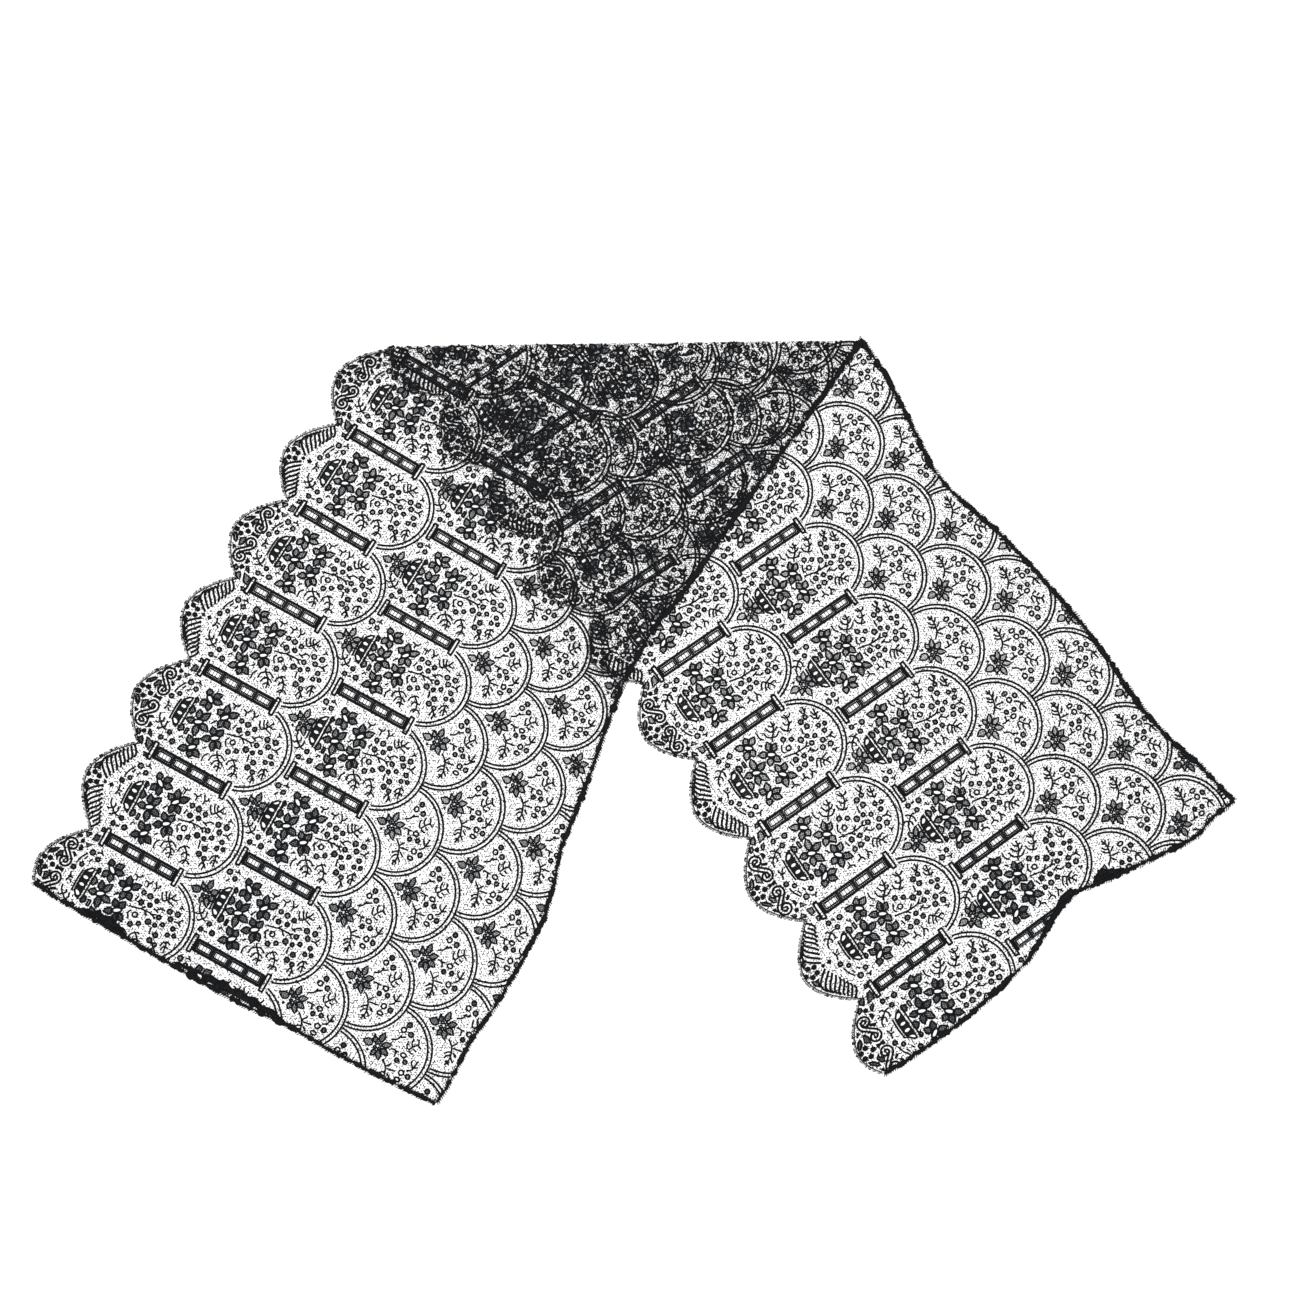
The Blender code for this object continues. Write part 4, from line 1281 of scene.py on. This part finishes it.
def roll_tree():
    """A rolled hem: a low lumpy roll along its path, whipped over with slanting stitches."""
    tree, given = node_tree("rolled_hem", [("Width", "Float"), ("Height", "Float"),
                                           ("Stitch pitch", "Float"), ("Lump", "Float"),
                                           ("Seed", "Int"), ("Material", "Material")])
    level = followed(tree, given)
    fine = add(tree, "GeometryNodeResampleCurve", {0: level, "Length": ROLL_STEP},
               mode="LENGTH").outputs[0]
    where = add(tree, "GeometryNodeInputPosition").outputs[0]
    swell = add(tree, "ShaderNodeTexNoise", {"Vector": where, "Scale": 1.0 / (9 * MM),
                                             "Detail": 2.0}).outputs["Fac"]
    swell = add(tree, "ShaderNodeMapRange", {0: swell, 1: 0.3, 2: 0.7, 3: 0.35,
                                             4: 1.25}).outputs[0]
    broad = add(tree, "ShaderNodeTexNoise",
                {"Vector": where, "Scale": 1.0 / (45 * MM)}).outputs["Fac"]
    broad = add(tree, "ShaderNodeMapRange", {0: broad, 1: 0.35, 2: 0.6, 3: 0.7,
                                             4: 1.15}).outputs[0]
    size = add(tree, "ShaderNodeMath", {0: swell, 1: broad}, operation="MULTIPLY").outputs[0]
    circle = add(tree, "GeometryNodeCurvePrimitiveCircle", {"Resolution": 12, "Radius": 0.5},
                 mode="RADIUS").outputs[0]
    oblong = add(tree, "ShaderNodeCombineXYZ", {0: given["Width"], 1: given["Height"],
                                                2: 1.0}).outputs[0]
    section = add(tree, "GeometryNodeTransform", {0: circle, "Scale": oblong}).outputs[0]
    roll = add(tree, "GeometryNodeCurveToMesh", {0: fine, "Profile Curve": section,
                                                 "Scale": size, "Fill Caps": True}).outputs[0]
    lumps = add(tree, "ShaderNodeTexNoise", {"Vector": where, "Scale": 1.0 / (4.5 * MM),
                                             "Detail": 2.0}).outputs["Fac"]
    lumps = add(tree, "ShaderNodeMath", {0: lumps, 1: 0.5}, operation="SUBTRACT").outputs[0]
    push = add(tree, "ShaderNodeMath", {0: lumps, 1: given["Lump"]},
               operation="MULTIPLY").outputs[0]
    normal = add(tree, "GeometryNodeInputNormal").outputs[0]
    offset = add(tree, "ShaderNodeVectorMath", {0: normal, 3: push},
                 operation="SCALE").outputs[0]
    lumpy = add(tree, "GeometryNodeSetPosition", {0: roll, "Offset": offset}).outputs[0]

    spots, facing = spaced(tree, level, given["Stitch pitch"])
    arc = add(tree, "GeometryNodeCurvePrimitiveBezierSegment",
              {"Resolution": 7, "Start": (-0.30, -0.5, -0.30), "Start Handle": (-0.2, -0.52, 0.62),
               "End Handle": (0.2, 0.52, 0.62), "End": (0.30, 0.5, -0.30)}).outputs[0]
    reach = add(tree, "ShaderNodeCombineXYZ", {0: given["Width"], 1: given["Width"],
                                               2: given["Height"]}).outputs[0]
    stitch = add(tree, "GeometryNodeTransform", {0: arc, "Scale": reach}).outputs[0]
    thin = add(tree, "GeometryNodeCurvePrimitiveCircle",
               {"Resolution": 4, "Radius": WHIP_THREAD}, mode="RADIUS").outputs[0]
    whip = add(tree, "GeometryNodeCurveToMesh", {0: stitch, "Profile Curve": thin,
                                                 "Fill Caps": True}).outputs[0]
    reach_now = add(tree, "FunctionNodeRandomValue", {2: 0.8, 3: 1.3, "Seed": given["Seed"]},
                    data_type="FLOAT").outputs[1]
    row = add(tree, "GeometryNodeInstanceOnPoints",
              {"Points": spots, "Instance": whip, "Rotation": facing,
               "Scale": reach_now}).outputs[0]
    both = tree.nodes.new("GeometryNodeJoinGeometry")
    for part in (lumpy, row):
        tree.links.new(part, both.inputs[0])
    real = add(tree, "GeometryNodeRealizeInstances", {0: both.outputs[0]}).outputs[0]
    parts = add(tree, "ShaderNodeSeparateXYZ", {0: where}).outputs
    height = add(tree, "ShaderNodeMath", {0: parts[2], 1: 0.1 * MM},
                 operation="MAXIMUM").outputs[0]
    resting = add(tree, "ShaderNodeCombineXYZ", {0: parts[0], 1: parts[1],
                                                 2: height}).outputs[0]
    laid_down = add(tree, "GeometryNodeSetPosition", {0: real, "Position": resting}).outputs[0]
    finished(tree, laid_down, given["Material"])
    return tree


def hem_line(stretch, points):
    """A hem's middle line in space, from points of the chart."""
    plane = laid(stretch, points)
    plane = plane[past_fold(stretch, plane) < 1.0]
    return rested(stretch, plane, HEM_HEIGHT / 2 - CLOTH_MIDDLE)


def head_hem_points(stretch):
    """The middle line of the hem along the plain long side."""
    inner, outer = sorted((stretch.loose, stretch.past))
    at = np.arange(inner, outer, 1 / 40.0)
    points = np.column_stack((at * REPEAT, head_across(stretch, at) - HEM_WIDTH / 2))
    return points[is_cloth(stretch, points, HEM_WIDTH / 2 - 0.05)]


def end_hem_points(stretch):
    """The middle line of the hem across the loose end."""
    across = np.arange(-BORDER_REACH, HEAD_REACH, 2.5)
    points = np.column_stack((end_at(stretch, across) * REPEAT + stretch.way * HEM_WIDTH / 2,
                              across))
    return points[is_cloth(stretch, points, HEM_WIDTH / 2 - 0.05)]


def rolled_hem(name, stretch, points, tree, material):
    """One rolled hem, as one piece."""
    line = hem_line(stretch, points)
    piece = guide_mesh(name, line, path_edges(len(line)))
    run_nodes(piece, tree, **{"Width": HEM_WIDTH * MM, "Height": HEM_HEIGHT * MM,
                              "Stitch pitch": 2.6 * MM, "Lump": 5.0 * MM, "Seed": 5,
                              "Material": material})
    return piece


# ---------------------------------------------------------------- studio and camera

FLOOR_SIDE = 8.0
VIEW_CENTRE = (12.25 * MM, 81.95 * MM)
VIEW_SIDE = 1354.5 * MM
LENS, SENSOR = 80.0, 36.0
LIGHTS = [               # place, side and power of each
    ("ceiling_light", (0.0, 0.1, 2.6), 1.6, 80.0),
    ("window_light", (-1.6, 1.2, 2.0), 1.6, 11.0),
]


def studio(paper):
    """A pale floor, soft light from above and an even sky."""
    mesh = bpy.data.meshes.new("floor")
    h = FLOOR_SIDE / 2
    mesh.from_pydata([(-h, -h, 0), (h, -h, 0), (h, h, 0), (-h, h, 0)], [], [(0, 1, 2, 3)])
    mesh.materials.append(paper)
    floor = bpy.data.objects.new("floor", mesh)
    floor.location.z = -0.05 * MM
    bpy.context.scene.collection.objects.link(floor)

    for name, place, side, power in LIGHTS:
        light = bpy.data.lights.new(name, "AREA")
        light.shape = "SQUARE"
        light.size = side
        light.energy = power
        lamp = bpy.data.objects.new(name, light)
        lamp.location = place
        lamp.rotation_euler = (-Vector(place)).to_track_quat("-Z", "Y").to_euler()
        bpy.context.scene.collection.objects.link(lamp)

    world = bpy.data.worlds.new("even_white_sky")
    world.use_nodes = True
    sky = world.node_tree.nodes["Background"]
    sky.inputs["Color"].default_value = (1.0, 1.0, 1.0, 1.0)
    sky.inputs["Strength"].default_value = 0.25
    bpy.context.scene.world = world
    bpy.context.scene.view_settings.view_transform = "Standard"


def overhead_camera():
    """Straight down on the laid lace."""
    data = bpy.data.cameras.new("camera")
    data.lens = LENS
    data.sensor_width = SENSOR
    camera = bpy.data.objects.new("camera", data)
    camera.location = (*VIEW_CENTRE, VIEW_SIDE * LENS / SENSOR)
    bpy.context.scene.collection.objects.link(camera)
    bpy.context.scene.camera = camera


# ---------------------------------------------------------------- all together

overhead_camera()
studio(pale_paper())
stitches = [net_ground(), light_stitch(), half_stitch(), cloth_stitch()]
gimp, rolled = gimp_thread(), rolled_edge()
thread_nodes, fringe_nodes, hem_nodes = laid_thread_tree(), picot_tree(), roll_tree()

for stretch in (UPPER, LOWER):
    page = placed_motifs(stretch)
    sheet = lace_sheet(stretch, page, stitches)
    thick = [t for t in page.threads if t.width >= FINE]
    fine = [t for t in page.threads if t.width < FINE]
    outlines = laid_threads(stretch.name + "_outlines", stretch, thick, thread_nodes, gimp)
    sprays = laid_threads(stretch.name + "_sprays", stretch, fine, thread_nodes, gimp)
    fringe = picots(stretch, fringe_nodes, gimp)
    head = rolled_hem(stretch.name + "_head_roll", stretch, head_hem_points(stretch), hem_nodes,
                      rolled)
    end = rolled_hem(stretch.name + "_end_roll", stretch, end_hem_points(stretch), hem_nodes,
                     rolled)
    for piece, slot in ((sheet, "black_lace"), (outlines, "black_lace"), (sprays, "black_lace"),
                        (fringe, "black_lace"), (head, "rolled_lace"), (end, "rolled_lace")):
        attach(piece, "root")
    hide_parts(stretch.name + "_fall")
    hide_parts(stretch.name + "_head_hem")
    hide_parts(stretch.name + "_end_hem")
